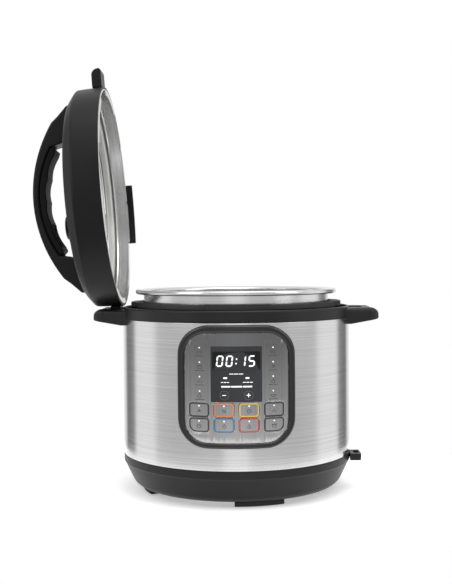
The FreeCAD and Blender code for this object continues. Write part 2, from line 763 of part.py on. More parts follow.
def buildPanel():
    outer = curved("frameOuter", rounded(d.panel_width, d.panel_height, d.panel_corner, panel_low),
                   d.shell_radius, frame_front, panel_low)
    opening = curved("frameOpening", rounded(d.face_width, d.face_height, d.face_corner, face_low),
                     face_back, frame_front + 5, panel_low)
    ledge = d.ledge_width
    through = curved("frameThrough", rounded(
        d.face_width - 2 * ledge, d.face_height - 2 * ledge, d.face_corner - ledge, face_low + ledge),
        d.shell_radius - 5, face_back + 1, panel_low)
    frame = cut("frameRing", outer, [opening, through])
    finished("panel_frame", frame)

    plate = curved("faceBlank", rounded(d.face_width, d.face_height, d.face_corner, face_low),
                   face_back, face_front, panel_low)
    display_low = face_top - d.display_drop - d.display_height
    holes = [curved("displayHole", rounded(d.display_width, d.display_height, sized(2), display_low),
                    face_back - 5, face_front + 5, panel_low)]
    for n, spot in enumerate(keySpots()):
        hole, place = keyBlank(f"keyHole{n}", d.key_gap, face_back - 5, face_front + 5, spot)
        hole.Placement = place
        holes.append(hole)
    finished("panel_face", cut("panelFace", plate, holes))

    window = curved("displayPlate", rounded(d.display_width, d.display_height, sized(2), display_low),
                    face_back, face_front + 0.3, panel_low)
    finished("display_window", window)

    for name, spot in zip(key_names, keySpots()):
        key, place = keyBlank(name + "Cap", sized(0), face_front - d.key_wall, face_front + 0.2, spot)
        finished(name, key, place)

    board_front = -d.panel_board_depth
    middle = (face_low + face_top) / 2
    board = box("panelSheet", d.panel_board_width, d.board_sheet, d.panel_board_height,
                0, board_front + d.board_sheet / 2, middle - d.panel_board_height / 2)
    finished("panel_board", board)

    depth = 7
    module = box("displayBody", d.display_width - 6, depth, d.display_height - 6,
                 0, board_front - depth / 2, display_low + 3)
    finished("display_module", module)

    switches = []
    for n, (across, up, _) in enumerate(keySpots()):
        if abs(across.value) + 3 > d.panel_board_width.value / 2:
            across = across - math.copysign(3, across.value)
        key_back = d.face_seat + d.shell_radius + d.face_wall - d.key_wall
        reach = root(key_back * key_back - across * across) - d.panel_board_depth - 1.6
        place = at(across, board_front, up, Vector(1, 0, 0), 90)
        switches.append(cylinder(f"keySwitch{n}", 2, reach, place))
    finished("key_switches", grouped("keySwitches", switches))


def buildAttachments():
    # A small socket with an upright slot, on the right at the seam of base and shell.
    middle_y = -21.5
    reach = d.shell_radius + d.socket_reach
    low = base_top - 1 - d.socket_height
    block = box("socketBlock", 40, d.socket_length, d.socket_height, reach - 20, middle_y, low)
    barrel = cylinder("socketBarrel", d.shell_radius, 200)
    slot = box("socketSlot", 6, 15, 40, reach - 5.2, middle_y, low - 10)
    finished("accessory_socket", cut("accessorySocket", block, [barrel, slot]))

    wall = d.collector_wall
    gap = 1
    near = d.shell_radius + gap
    middle = near + d.collector_depth / 2
    top = shell_top - 8
    low = top - d.collector_height
    cup = box("collectorBox", d.collector_width, d.collector_depth, d.collector_height, 0, middle, low)
    hollow = box("collectorHollow", d.collector_width - 2 * wall, d.collector_depth - 2 * wall,
                 d.collector_height, 0, middle, low + wall)
    wings = [
        box(f"collectorWing{n}", 2.2, d.collector_depth, 2,
            side * (d.collector_width / 2 + 0.9), middle, top - 6)
        for n, side in enumerate((-1, 1))
    ]
    cup = cut("collectorCup", cup, [hollow])
    finished("condensation_collector", fused("collectorWhole", [cup] + wings))

    rails = []
    for n, side in enumerate((-1, 1)):
        inner = d.collector_width / 2 + 0.4
        rail = box(f"railBlock{n}", 5, d.collector_depth + 10, 12,
                   side * (inner + 2.5), near + d.collector_depth / 2 - 5, top - 11)
        groove = box(f"railGroove{n}", 4.6, 80, 2.6, side * inner, near + 20, top - 6.3)
        barrel = cylinder(f"railBarrel{n}", d.shell_radius, 300)
        rails.append(cut(f"rail{n}", rail, [groove, barrel]))
    finished("collector_rails", grouped("collectorRails", rails))


def coverForm(name, shrink=0):
    # The outside of the lid's cover as a solid, or its inside when shrunk by the wall.
    return turned(name, [
        (0, sized(1) - shrink),
        (d.lid_radius - shrink, sized(1) - shrink),
        (d.lid_radius - shrink, d.lid_skirt - shrink * 0.4),
        (d.lid_shoulder_radius - shrink * 0.55, d.lid_shoulder_height - shrink),
        (d.lid_top_radius - shrink * 0.2, d.lid_height - shrink),
        (0, d.lid_height - shrink),
    ])


def buildLidCover():
    holes = [
        cylinder("pipeHole", d.pipe_radius + 2, 30, at(d.steam_across, d.steam_back, 45)),
        cylinder("floatHole", d.float_pin + 1.2, 30, at(d.float_across, d.steam_back, 45)),
    ]
    holes += [
        cylinder(f"archScrewHole{n}", d.screw_shank, 30, at(x, 0, 45))
        for n, x in enumerate((-d.arch_screw, d.arch_screw))
    ]
    cover = cut("lidCover", coverForm("coverOuter"), [coverForm("coverInner", d.lid_wall)] + holes)
    finished("lid_cover", cover, lidPlace())

    fins = []
    for n, side in enumerate((0, 180)):
        tip = d.lid_radius + d.fin_length
        profile = prism(f"finProfile{n}", [
            (d.lid_radius - 8, d.fin_low),
            (tip - 3, d.fin_low, 3),
            (tip, d.fin_low + 3),
            (tip - 2, d.fin_high - 5, 8),
            (tip - 9, d.fin_high),
            (d.lid_radius - 8, d.fin_high),
        ], d.fin_width, "XZ_Plane", both=True)
        barrel = cylinder(f"finBarrel{n}", d.lid_radius, 60)
        fin = cut(f"fin{n}", profile, [barrel])
        fin.Placement = at(angle=side)
        fins.append(fin)
    finished("lid_fins", grouped("lidFins", fins), lidPlace())

    tab = hoop("dripTabHoop", d.lid_radius, d.lid_radius + d.tab_wall, -d.tab_drop, d.tab_rise,
               d.tab_sweep)
    turn = at(angle=96.4 - d.tab_sweep / 2)
    finished("drip_tab", tab, lidPlace().multiply(turn))


def buildLidHandle():
    end = d.handle_arch_end
    radius = d.handle_arch_radius
    end_height = d.handle_arch - radius + root(radius * radius - end * end)
    foot = d.arch_foot
    grip = d.grip_end + d.grip_lip
    outer_grip = d.grip_radius + d.grip_lip / 3
    grip_top = d.grip_height + d.grip_wall
    grip_height = grip_top - outer_grip + root(outer_grip * outer_grip - grip * grip)
    low = d.lid_shoulder_height - 12
    arch = prism("archBlank", [
        (foot, low),
        (foot, d.arch_foot_height),
        (end, end_height, radius),
        (-end, end_height),
        (-foot, d.arch_foot_height),
        (-foot, low),
        (-grip - d.arch_pillar, low),
        (-grip - d.arch_pillar, d.lid_height + 2),
        (-grip, grip_height, -outer_grip),
        (grip, grip_height),
        (grip + d.arch_pillar, d.lid_height + 2),
        (grip + d.arch_pillar, low),
    ], d.arch_width, "XZ_Plane", both=True)
    holes = [
        cylinder(f"archBlindHole{n}", d.screw_shank, 12, at(x, 0, d.lid_height - 2))
        for n, x in enumerate((-d.arch_screw, d.arch_screw))
    ]
    finished("lid_handle", cut("lidHandle", arch, [coverForm("archSeat")] + holes), lidPlace())

    inner = d.grip_radius
    inner_height = d.grip_height - inner + root(inner * inner - d.grip_end * d.grip_end)
    blank = prism("gripBlank", [
        (-d.grip_end, inner_height, -inner),
        (d.grip_end, inner_height),
        (grip, grip_height, outer_grip),
        (-grip, grip_height),
    ], d.arch_width - 4, "XZ_Plane", both=True)
    centre_height = d.grip_height - inner
    reach = (inner - d.finger_radius + d.finger_depth).value
    hollows = []
    for n in range(4):
        angle = math.radians(13 * (n - 1.5))
        place = at(reach * math.sin(angle), d.arch_width, centre_height + reach * math.cos(angle),
                   Vector(1, 0, 0), 90)
        hollows.append(cylinder(f"finger{n}", d.finger_radius, 2 * d.arch_width, place))
    finished("lid_grip", cut("lidGrip", blank, hollows), lidPlace())

    screws = []
    for n, x in enumerate((-d.arch_screw, d.arch_screw)):
        head_low = d.lid_height - d.lid_wall - 2.5
        head = cylinder(f"archScrewHead{n}", d.screw_head, 2.5, at(x, 0, head_low))
        shank = cylinder(f"archScrewShank{n}", d.screw_shank, 12, at(x, 0, head_low))
        screws.append(fused(f"archScrew{n}", [head, shank]))
    finished("handle_screws", grouped("handleScrews", screws), lidPlace())


def buildSteelLid():
    outer = d.lid_radius - d.lid_wall - d.steel_gap
    wall = d.steel_wall
    inner = outer - wall
    seat = d.steel_seat - wall
    dome = d.steel_dome - wall
    blank = turned("steelBlank", [
        (0, dome),
        (d.steel_dome_radius, dome),
        (d.steel_dome_radius + 3 - wall, seat),
        (inner, seat),
        (inner, 0.5 + wall),
        (d.steel_flange, 0.5 + wall),
        (d.steel_flange, 0.5),
        (outer, 0.5),
        (outer, d.steel_seat),
        (d.steel_dome_radius + 3, d.steel_seat),
        (d.steel_dome_radius, d.steel_dome),
        (0, d.steel_dome),
    ])
    gaps = sectors("steelGap", 6, d.steel_flange - 2, inner, 0, 0.5 + wall, d.steel_lug_gap, 102)
    holes = [
        cylinder("steelPipeHole", d.pipe_radius, 30, at(d.steam_across, d.steam_back, 20)),
        cylinder("steelFloatHole", d.float_pin + 0.7, 30, at(d.float_across, d.steam_back, 20)),
    ]
    holes += [rivet("rivetHole", n, inner - 1, wall + 3) for n in range(3)]
    finished("steel_lid", cut("steelLid", blank, gaps + holes), lidPlace())

    rivets = []
    for n in range(3):
        shank = rivet("rivetShank", n, inner - 0.5, wall + 0.5)
        head = rivet("rivetHead", n, inner - 1.2, 1, 3)
        rivets.append(common(f"rivetShort{n}", fused(f"rivet{n}", [shank, head]), cylinder(
            f"rivetBarrel{n}", outer, 60)))
    finished("skirt_rivets", grouped("skirtRivets", rivets), lidPlace())

    low = seat - d.seal_height
    near = d.seal_radius
    far = near + d.seal_width
    lip = d.seal_lip
    groove = low + d.seal_height / 2
    finished("sealing_ring", turned("sealingRing", [
        (near, seat),
        (near, low + 1),
        (near + lip, low),
        (near + lip + 0.5, groove),
        (far - lip - 0.5, groove),
        (far - lip, low),
        (far, low + 1),
        (far, seat),
    ]), lidPlace())
    wire = d.rack_wire
    rack = doc.addObject("Part::Torus", "sealRack")
    bind(rack, "Radius1", near - wire - d.rack_gap)
    bind(rack, "Radius2", wire)
    finished("sealing_ring_rack", rack, lidPlace().multiply(at(0, 0, seat - wire - d.rack_gap)))

    posts = []
    for n, x in enumerate((-d.post_across, d.post_across)):
        for m, y in enumerate((d.post_front, d.post_back)):
            place = at(x, y, d.steel_dome)
            height = d.lid_height - d.lid_wall - d.steel_dome
            posts.append(cylinder(f"lidPost{n}{m}", 4, height, place))
    finished("lid_posts", grouped("lidPosts", posts), lidPlace())


def rivet(name, number, start, length, radius=1.8):
    # A radial pin on the rear of the lid's steel skirt.
    angle = 91 + 5.2 * (number - 1) - 2
    outward = Place(Vector(0, 0, 0), Turn(Vector(0, 0, 1), angle))
    across = Place(Vector(sized(start).value, 0, 12), Turn(Vector(0, 1, 0), 90))
    return cylinder(f"{name}{number}", radius, length, outward.multiply(across))


def buildValves():
    dome = d.steel_dome - d.steel_wall
    spot = at(d.steam_across, d.steam_back, 0)
    top = d.lid_height + 4
    pipe = turned("steamPipe", [
        (d.pipe_bore, dome - 4),
        (8, dome - 4),
        (8, dome),
        (d.pipe_radius, dome),
        (d.pipe_radius, d.steel_dome),
        (9, d.steel_dome),
        (9, d.steel_dome + 3),
        (d.pipe_radius, d.steel_dome + 3),
        (d.pipe_radius, top),
        (d.pipe_bore, top),
    ])
    finished("steam_pipe", pipe, lidPlace().multiply(spot))

    low = d.lid_height + d.knob_gap
    high = low + d.knob_height
    hub = turned("knobHub", [
        (d.pipe_radius + 1, low),
        (d.knob_radius, low),
        (d.knob_radius, high - 2, 2),
        (d.knob_radius - 2, high),
        (0, high),
        (0, top + 1),
        (d.pipe_radius + 1, top + 1),
    ])
    lever = prism("knobLever", rounded(sized(13), d.knob_length, sized(6), d.knob_radius - 8), 7)
    lever.Placement = at(0, 0, high - 7, angle=35)
    finished("steam_release", fused("steamRelease", [hub, lever]), lidPlace().multiply(spot))

    shield = turned("shieldCup", [
        (0, dome - d.shield_height - 0.2),
        (d.shield_radius, dome - d.shield_height - 0.2),
        (d.shield_radius, dome - 0.2),
        (8.2, dome - 0.2),
        (8.2, dome - 1.2),
        (d.shield_radius - 0.8, dome - 1.2),
        (d.shield_radius - 0.8, dome - d.shield_height + 0.6),
        (0, dome - d.shield_height + 0.6),
    ])
    slots = []
    for n in range(3):
        slot = box(f"shieldSlot{n}", 40, 2, 6, 0, 0, dome - d.shield_height + 2.5)
        slot.Placement = at(angle=60 * n).multiply(slot.Placement)
        slots.append(slot)
    shield = cut("shield", shield, slots)
    finished("anti_block_shield", shield, lidPlace().multiply(spot))

    spot = at(d.float_across, d.steam_back, 0)
    pin_low = dome - 9
    head_low = d.lid_height - 3
    pin = turned("floatPin", [
        (0, pin_low),
        (5, pin_low),
        (5, pin_low + 1.5),
        (d.float_pin, pin_low + 1.5),
        (d.float_pin, head_low),
        (d.float_pin + 0.8, head_low),
        (d.float_pin + 0.8, d.lid_height),
        (0, d.lid_height),
    ])
    finished("float_valve", pin, lidPlace().multiply(spot))
    seal = hoop("floatSeal", d.float_pin, 6.5, pin_low + 1.5, pin_low + 3)
    finished("float_seal", seal, lidPlace().multiply(spot))


def buildLock():
    # The pin that the raised float valve blocks, in its bracket on the steel lid.
    low = d.steel_dome
    middle = d.lock_across
    back = d.steam_back
    length = d.lock_length
    width = d.lock_width
    height = d.lock_height
    play = 0.2
    channel_height = d.lock_pin_height + 2 * play
    channel_low = low + (height - channel_height) / 2
    block = box("lockBlock", length, width, height, middle, back, low)
    channel = box("lockChannel", 60, d.lock_pin_width + 2 * play, channel_height,
                  middle, back, channel_low)
    stop_middle = middle + length / 2 - d.lock_stop / 2
    stop = box("lockStop", d.lock_stop, width, height, stop_middle, back, low)
    bracket = fused("lockBracket", [cut("lockFrame", block, [channel]), stop])
    finished("lock_bracket", bracket, lidPlace())
    reach = d.lock_pin_length
    pin = box("lockPin", reach, d.lock_pin_width, d.lock_pin_height,
              middle - reach / 2, back, channel_low + play)
    finished("locking_pin", pin, lidPlace().multiply(pin.Placement))
    # The spring fills the channel from the pin to the stop.
    place = at(middle + play, back, low + height / 2, Vector(0, 1, 0), 90)
    room = length / 2 - d.lock_stop - 2 * play
    coil = spring("lockSpring", 2, 0.4, room, 6, place)
    finished("lock_spring", coil, lidPlace().multiply(place))


buildBase()
buildShell()
buildTopRing()
sideHandle("left", -1)
sideHandle("right", 1)
buildChamber()
buildHeater()
buildSensor()
buildInnerPot()
buildPower()
buildPanel()
buildAttachments()
buildLidCover()
buildLidHandle()
buildSteelLid()
buildValves()
buildLock()
doc.recompute()

for thing in doc.Objects:
    if "Invalid" in thing.State or "Error" in thing.State:
        raise RuntimeError(f"{thing.Label} did not build: {thing.State}")
for label, thing in sub_parts.items():
    if thing.Shape.isNull() or not thing.Shape.isValid() or not thing.Shape.Solids:
        raise RuntimeError(f"{label} has no valid solid")

os.makedirs("parts", exist_ok=True)
for label, thing in sub_parts.items():
    thing.Shape.exportStep(f"parts/{label}.step")
print(f"{len(sub_parts)} sub-parts written")
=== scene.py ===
import bpy, bmesh, json, math
from mathutils import Matrix, Vector


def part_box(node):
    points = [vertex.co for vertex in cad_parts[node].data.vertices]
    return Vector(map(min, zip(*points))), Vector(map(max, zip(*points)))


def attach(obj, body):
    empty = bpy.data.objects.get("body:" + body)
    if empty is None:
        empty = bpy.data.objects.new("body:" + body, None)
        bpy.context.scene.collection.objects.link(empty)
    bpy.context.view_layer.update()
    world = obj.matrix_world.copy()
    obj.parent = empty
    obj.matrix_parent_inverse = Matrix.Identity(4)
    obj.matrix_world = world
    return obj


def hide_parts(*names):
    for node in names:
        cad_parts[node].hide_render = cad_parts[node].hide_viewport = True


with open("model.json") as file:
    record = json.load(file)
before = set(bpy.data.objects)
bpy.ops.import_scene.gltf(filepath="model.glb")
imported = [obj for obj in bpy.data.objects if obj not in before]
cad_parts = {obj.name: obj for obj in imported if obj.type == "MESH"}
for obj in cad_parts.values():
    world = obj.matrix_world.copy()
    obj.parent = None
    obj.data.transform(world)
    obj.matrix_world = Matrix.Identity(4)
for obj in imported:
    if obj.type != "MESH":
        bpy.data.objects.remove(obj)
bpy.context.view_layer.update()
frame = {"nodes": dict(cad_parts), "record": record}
print("frame loaded")

mm = 0.001
shellLow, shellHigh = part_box("outer_shell")
shellRadius = shellHigh[0]
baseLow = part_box("bottom_base")[0][2]
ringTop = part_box("top_ring")[1][2]

# the lid's own frame: rim at z = 0, top up, handle along x
lidSeat = {"out": 0.1435, "up": 0.3491}
liftAxis = Vector([j for j in frame["record"]["behaviour"]["joints"] if j["name"] == "lid_lift"][0]["axis"])
lidTop = liftAxis.cross(Vector((0, 1, 0))).normalized()
lidMatrix = Matrix((liftAxis, Vector((0, 1, 0)), lidTop)).transposed().to_4x4()
lidMatrix.translation = Vector((-lidSeat["out"], 0, lidSeat["up"]))


# materials

def newMaterial(name):
    mat = bpy.data.materials.new(name)
    mat.use_nodes = True
    nodes = mat.node_tree.nodes
    return mat, nodes, mat.node_tree.links, nodes["Principled BSDF"]


def addNode(nodes, kind, **values):
    n = nodes.new(kind)
    for key, value in values.items():
        if key in n.inputs:
            n.inputs[key].default_value = value
        else:
            setattr(n, key, value)
    return n


def rampBetween(nodes, links, source, low, high, start=0.3, stop=0.7):
    ramp = nodes.new("ShaderNodeValToRGB")
    ramp.color_ramp.elements[0].position = start
    ramp.color_ramp.elements[0].color = low
    ramp.color_ramp.elements[1].position = stop
    ramp.color_ramp.elements[1].color = high
    links.new(source, ramp.inputs["Fac"])
    return ramp.outputs["Color"]


def grey(v):
    return (v, v, v, 1)


def brushedMetal(name, tone=0.6, rough=0.3, streaks=(3, 3, 900), anisotropy=0.5, bump=0.05, metallic=1.0,
                 paintedTopShade=None):
    mat, nodes, links, shader = newMaterial(name)
    coords = nodes.new("ShaderNodeTexCoord")
    mapping = addNode(nodes, "ShaderNodeMapping", Scale=streaks)
    links.new(coords.outputs["Object"], mapping.inputs["Vector"])
    streak = addNode(nodes, "ShaderNodeTexNoise", Scale=1.0, Detail=4.0, Roughness=0.7)
    links.new(mapping.outputs["Vector"], streak.inputs["Vector"])
    cloud = addNode(nodes, "ShaderNodeTexNoise", Scale=9.0, Detail=2.0)
    links.new(coords.outputs["Object"], cloud.inputs["Vector"])
    colour = rampBetween(nodes, links, streak.outputs["Fac"], grey(tone * 0.9), grey(tone * 1.08))
    if paintedTopShade:
        # painted shade: the sheet's colour is darkened towards its top edge, where shade falls; two heights
        # and the share of the tone left at the top
        split = nodes.new("ShaderNodeSeparateXYZ")
        links.new(coords.outputs["Object"], split.inputs[0])
        height = addNode(nodes, "ShaderNodeMapRange")
        height.inputs["From Min"].default_value, height.inputs["From Max"].default_value = paintedTopShade[0], paintedTopShade[1]
        height.inputs["To Min"].default_value, height.inputs["To Max"].default_value = 1.0, paintedTopShade[2]
        links.new(split.outputs["Z"], height.inputs["Value"])
        shaded = addNode(nodes, "ShaderNodeVectorMath", operation="SCALE")
        links.new(colour, shaded.inputs[0])
        links.new(height.outputs["Result"], shaded.inputs["Scale"])
        colour = shaded.outputs[0]
    links.new(colour, shader.inputs["Base Color"])
    mixed = addNode(nodes, "ShaderNodeMath", operation="MULTIPLY_ADD")
    links.new(streak.outputs["Fac"], mixed.inputs[0])
    mixed.inputs[1].default_value = 0.16
    mixed.inputs[2].default_value = rough - 0.08
    wear = addNode(nodes, "ShaderNodeMath", operation="MULTIPLY_ADD")
    links.new(cloud.outputs["Fac"], wear.inputs[0])
    wear.inputs[1].default_value = 0.05
    links.new(mixed.outputs[0], wear.inputs[2])
    links.new(wear.outputs[0], shader.inputs["Roughness"])
    dent = addNode(nodes, "ShaderNodeBump", Strength=bump, Distance=0.0004)
    links.new(streak.outputs["Fac"], dent.inputs["Height"])
    links.new(dent.outputs["Normal"], shader.inputs["Normal"])
    shader.inputs["Metallic"].default_value = metallic
    shader.inputs["Anisotropic"].default_value = anisotropy
    return mat


def spunMetal(name, tone=0.62, rough=0.3, rings=900, bump=0.06):
    # turned on a lathe: fine rings round the piece's own z axis
    mat, nodes, links, shader = newMaterial(name)
    coords = nodes.new("ShaderNodeTexCoord")
    split = nodes.new("ShaderNodeSeparateXYZ")
    links.new(coords.outputs["Object"], split.inputs[0])
    flat = nodes.new("ShaderNodeCombineXYZ")
    links.new(split.outputs["X"], flat.inputs["X"])
    links.new(split.outputs["Y"], flat.inputs["Y"])
    reach = addNode(nodes, "ShaderNodeVectorMath", operation="LENGTH")
    links.new(flat.outputs[0], reach.inputs[0])
    ringPlace = nodes.new("ShaderNodeCombineXYZ")
    scaled = addNode(nodes, "ShaderNodeMath", operation="MULTIPLY")
    scaled.inputs[1].default_value = rings
    links.new(reach.outputs["Value"], scaled.inputs[0])
    links.new(scaled.outputs[0], ringPlace.inputs["X"])
    tall = addNode(nodes, "ShaderNodeMath", operation="MULTIPLY")
    tall.inputs[1].default_value = rings
    links.new(split.outputs["Z"], tall.inputs[0])
    links.new(tall.outputs[0], ringPlace.inputs["Y"])
    streak = addNode(nodes, "ShaderNodeTexNoise", Scale=1.0, Detail=3.0, Roughness=0.6)
    links.new(ringPlace.outputs[0], streak.inputs["Vector"])
    smear = addNode(nodes, "ShaderNodeTexNoise", Scale=14.0, Detail=3.0)
    links.new(coords.outputs["Object"], smear.inputs["Vector"])
    links.new(rampBetween(nodes, links, streak.outputs["Fac"], grey(tone * 0.88), grey(tone * 1.1)),
              shader.inputs["Base Color"])
    amount = addNode(nodes, "ShaderNodeMath", operation="MULTIPLY_ADD")
    links.new(smear.outputs["Fac"], amount.inputs[0])
    amount.inputs[1].default_value = 0.12
    amount.inputs[2].default_value = rough - 0.06
    links.new(amount.outputs[0], shader.inputs["Roughness"])
    dent = addNode(nodes, "ShaderNodeBump", Strength=bump, Distance=0.0003)
    links.new(streak.outputs["Fac"], dent.inputs["Height"])
    links.new(dent.outputs["Normal"], shader.inputs["Normal"])
    shader.inputs["Metallic"].default_value = 1.0
    shader.inputs["Anisotropic"].default_value = 0.4
    return mat


def mouldedPlastic(name, colour=(0.02, 0.02, 0.021), rough=0.42, grain=900, bump=0.12, sheen=0.25):
    mat, nodes, links, shader = newMaterial(name)
    coords = nodes.new("ShaderNodeTexCoord")
    fine = addNode(nodes, "ShaderNodeTexNoise", Scale=float(grain), Detail=2.0)
    links.new(coords.outputs["Object"], fine.inputs["Vector"])
    broad = addNode(nodes, "ShaderNodeTexNoise", Scale=22.0, Detail=3.0)
    links.new(coords.outputs["Object"], broad.inputs["Vector"])
    low = tuple(c * 0.86 for c in colour) + (1,)
    high = tuple(min(1, c * 1.16) for c in colour) + (1,)
    links.new(rampBetween(nodes, links, broad.outputs["Fac"], low, high), shader.inputs["Base Color"])
    amount = addNode(nodes, "ShaderNodeMath", operation="MULTIPLY_ADD")
    links.new(broad.outputs["Fac"], amount.inputs[0])
    amount.inputs[1].default_value = 0.1
    amount.inputs[2].default_value = rough - 0.05
    links.new(amount.outputs[0], shader.inputs["Roughness"])
    dent = addNode(nodes, "ShaderNodeBump", Strength=bump, Distance=0.0002)
    links.new(fine.outputs["Fac"], dent.inputs["Height"])
    links.new(dent.outputs["Normal"], shader.inputs["Normal"])
    shader.inputs["Specular IOR Level"].default_value = sheen
    return mat


def litMark(name, colour, glow=0.6):
    # printed or lit marks, with a faint unevenness of ink; the glow is lamp light on lit marks and painted
    # light on printed ones
    mat, nodes, links, shader = newMaterial(name)
    coords = nodes.new("ShaderNodeTexCoord")
    speck = addNode(nodes, "ShaderNodeTexNoise", Scale=1500.0, Detail=1.0)
    links.new(coords.outputs["Object"], speck.inputs["Vector"])
    low = tuple(c * 0.93 for c in colour) + (1,)
    links.new(rampBetween(nodes, links, speck.outputs["Fac"], low, tuple(colour) + (1,)),
              shader.inputs["Base Color"])
    shader.inputs["Roughness"].default_value = 0.45
    if glow:
        shader.inputs["Emission Color"].default_value = tuple(colour) + (1,)
        shader.inputs["Emission Strength"].default_value = glow
    return mat


steelShell = brushedMetal("brushedShell", tone=0.68, rough=0.14, streaks=(2, 2, 1100), anisotropy=0.0,
                          bump=0.04)
# the panel face's colour holds painted shade, darker towards its top
steelFace = brushedMetal("brushedFace", tone=0.5, rough=0.3, streaks=(1400, 1400, 6), anisotropy=0.3,
                         bump=0.03,
                         paintedTopShade=(0.06, 0.18, 0.36))
steelLidMat = spunMetal("spunLid", tone=0.66, rough=0.24)
steelPot = spunMetal("spunPot", tone=0.7, rough=0.2, rings=700)
steelSmall = spunMetal("smallSteel", tone=0.55, rough=0.3, rings=1500)
castPlate = spunMetal("castPlate", tone=0.5, rough=0.45, rings=500)
darkCoat = mouldedPlastic("darkCoat", (0.035, 0.035, 0.037), rough=0.5, grain=700, bump=0.5)
blackBody = mouldedPlastic("blackBody", (0.008, 0.008, 0.0085), rough=0.38, grain=1100, bump=0.15)
blackRing = mouldedPlastic("blackRing", (0.011, 0.011, 0.0115), rough=0.4, grain=1100, bump=0.12)
blackLid = mouldedPlastic("blackLid", (0.0065, 0.0065, 0.007), rough=0.4, grain=1200, bump=0.15, sheen=0.17)
blackGloss = mouldedPlastic("blackGloss", (0.008, 0.008, 0.0085), rough=0.24, grain=600, bump=0.05,
                            sheen=0.5)
gripRubber = mouldedPlastic("gripBlack", (0.003, 0.003, 0.0034), rough=0.5, grain=800, bump=0.3, sheen=0.12)
footRubber = mouldedPlastic("footRubber", (0.02, 0.02, 0.02), rough=0.75, grain=700, bump=0.6)
silicone = mouldedPlastic("silicone", (0.62, 0.62, 0.6), rough=0.5, grain=500, bump=0.1)
clearGrey = mouldedPlastic("cupGrey", (0.3, 0.31, 0.32), rough=0.25, grain=300, bump=0.03)
clearGrey.node_tree.nodes["Principled BSDF"].inputs["Transmission Weight"].default_value = 0.5
screenDark = mouldedPlastic("screenDark", (0.032, 0.033, 0.035), rough=0.28, grain=300, bump=0.02)
screenGlass = mouldedPlastic("screenGlass", (0.006, 0.006, 0.007), rough=0.12, grain=200, bump=0.01)
boardGreen = mouldedPlastic("boardGreen", (0.02, 0.12, 0.05), rough=0.5, grain=300, bump=0.1)
boardTan = mouldedPlastic("boardTan", (0.22, 0.14, 0.05), rough=0.55, grain=300, bump=0.1)
whitePart = mouldedPlastic("whitePart", (0.7, 0.69, 0.66), rough=0.5, grain=500, bump=0.1)
whiteMark = litMark("whiteMark", (0.9, 0.92, 0.92), 0.55)
inkBlack = litMark("inkBlack", (0.02, 0.02, 0.022), 0)
inkDark = litMark("inkDark", (0.06, 0.06, 0.065), 0)
# grey ink for printed lines, also used as painted shade round the display's key domes
greyInkAndDomeShade = litMark("greyInkAndDomeShade", (0.16, 0.16, 0.17), 0)
# the coloured key inks are printed, not lit: their faint glow is painted light
inkOrange = litMark("inkOrange", (0.75, 0.2, 0.04), 0.05)
inkYellow = litMark("inkYellow", (0.75, 0.5, 0.06), 0.05)
inkBlue = litMark("inkBlue", (0.03, 0.2, 0.42), 0.02)
inkRed = litMark("inkRed", (0.6, 0.035, 0.03), 0.05)
print("materials made")


# mesh tools

def madePiece(name, verts, faces, mat, body, nodes=(), smooth=True, matrix=None, bevel=0):
    mesh = bpy.data.meshes.new(name)
    mesh.from_pydata([tuple(v) for v in verts], [], faces)
    mesh.validate()
    bm = bmesh.new()
    bm.from_mesh(mesh)
    bmesh.ops.remove_doubles(bm, verts=bm.verts, dist=1e-7)
    bmesh.ops.recalc_face_normals(bm, faces=bm.faces)
    bm.to_mesh(mesh)
    bm.free()
    obj = bpy.data.objects.new(name, mesh)
    bpy.context.collection.objects.link(obj)
    mesh.materials.append(mat)
    if matrix is not None:
        obj.matrix_world = matrix
    if bevel:
        mod = obj.modifiers.new("roundedEdges", "BEVEL")
        mod.width = bevel
        mod.segments = 3
        mod.limit_method = "ANGLE"
        mod.angle_limit = math.radians(40)
        mod.harden_normals = False
    if smooth:
        for p in mesh.polygons:
            p.use_smooth = True
        mod = obj.modifiers.new("evenNormals", "WEIGHTED_NORMAL")
        mod.keep_sharp = True
    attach(obj, body)
    if nodes:
        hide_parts(*nodes)
    return obj


def rounded(profile, radius, steps=4):
    # rounds each inner corner of an open list of (r, z) points; a third number overrides the radius
    result = [profile[0][:2]]
    for i in range(1, len(profile) - 1):
        here = Vector(profile[i][:2])
        size = profile[i][2] if len(profile[i]) > 2 else radius
        a, b = Vector(profile[i - 1][:2]) - here, Vector(profile[i + 1][:2]) - here
        size = min(size, a.length * 0.45, b.length * 0.45)
        if size <= 0 or a.length < 1e-9 or b.length < 1e-9:
            result.append(tuple(here))
            continue
        p, q = here + a.normalized() * size, here + b.normalized() * size
        for s in range(steps + 1):
            f = s / steps
            result.append(tuple((1 - f) ** 2 * p + 2 * f * (1 - f) * here + f * f * q))
    result.append(profile[-1][:2])
    return result


def lathe(name, profile, mat, body, nodes=(), around=192, closed=True, start=0, sweep=360, matrix=None,
          reach=None, radius=0.0006, bevel=0):
    # profile is (r, z) in metres; reach(angle, r, z) may change r, for lugs and gaps
    if closed:
        points = rounded(profile + [profile[0], profile[1]], radius)[1:-1]
    else:
        points = rounded(profile, radius)
    whole = sweep >= 360
    columns = around if whole else around + 1
    verts, faces = [], []
    for c in range(columns):
        angle = math.radians(start + sweep * c / around)
        for r, z in points:
            rr = reach(math.degrees(angle) % 360, r, z) if reach else r
            verts.append((rr * math.cos(angle), rr * math.sin(angle), z))
    n = len(points)
    for c in range(around):
        d = (c + 1) % columns
        for i in range(n if closed else n - 1):
            j = (i + 1) % n
            faces.append((c * n + i, d * n + i, d * n + j, c * n + j))
    if not whole and closed:
        faces.append(tuple(range(n)))
        faces.append(tuple((columns - 1) * n + i for i in range(n)))
    return madePiece(name, verts, faces, mat, body, nodes, matrix=matrix, bevel=bevel)


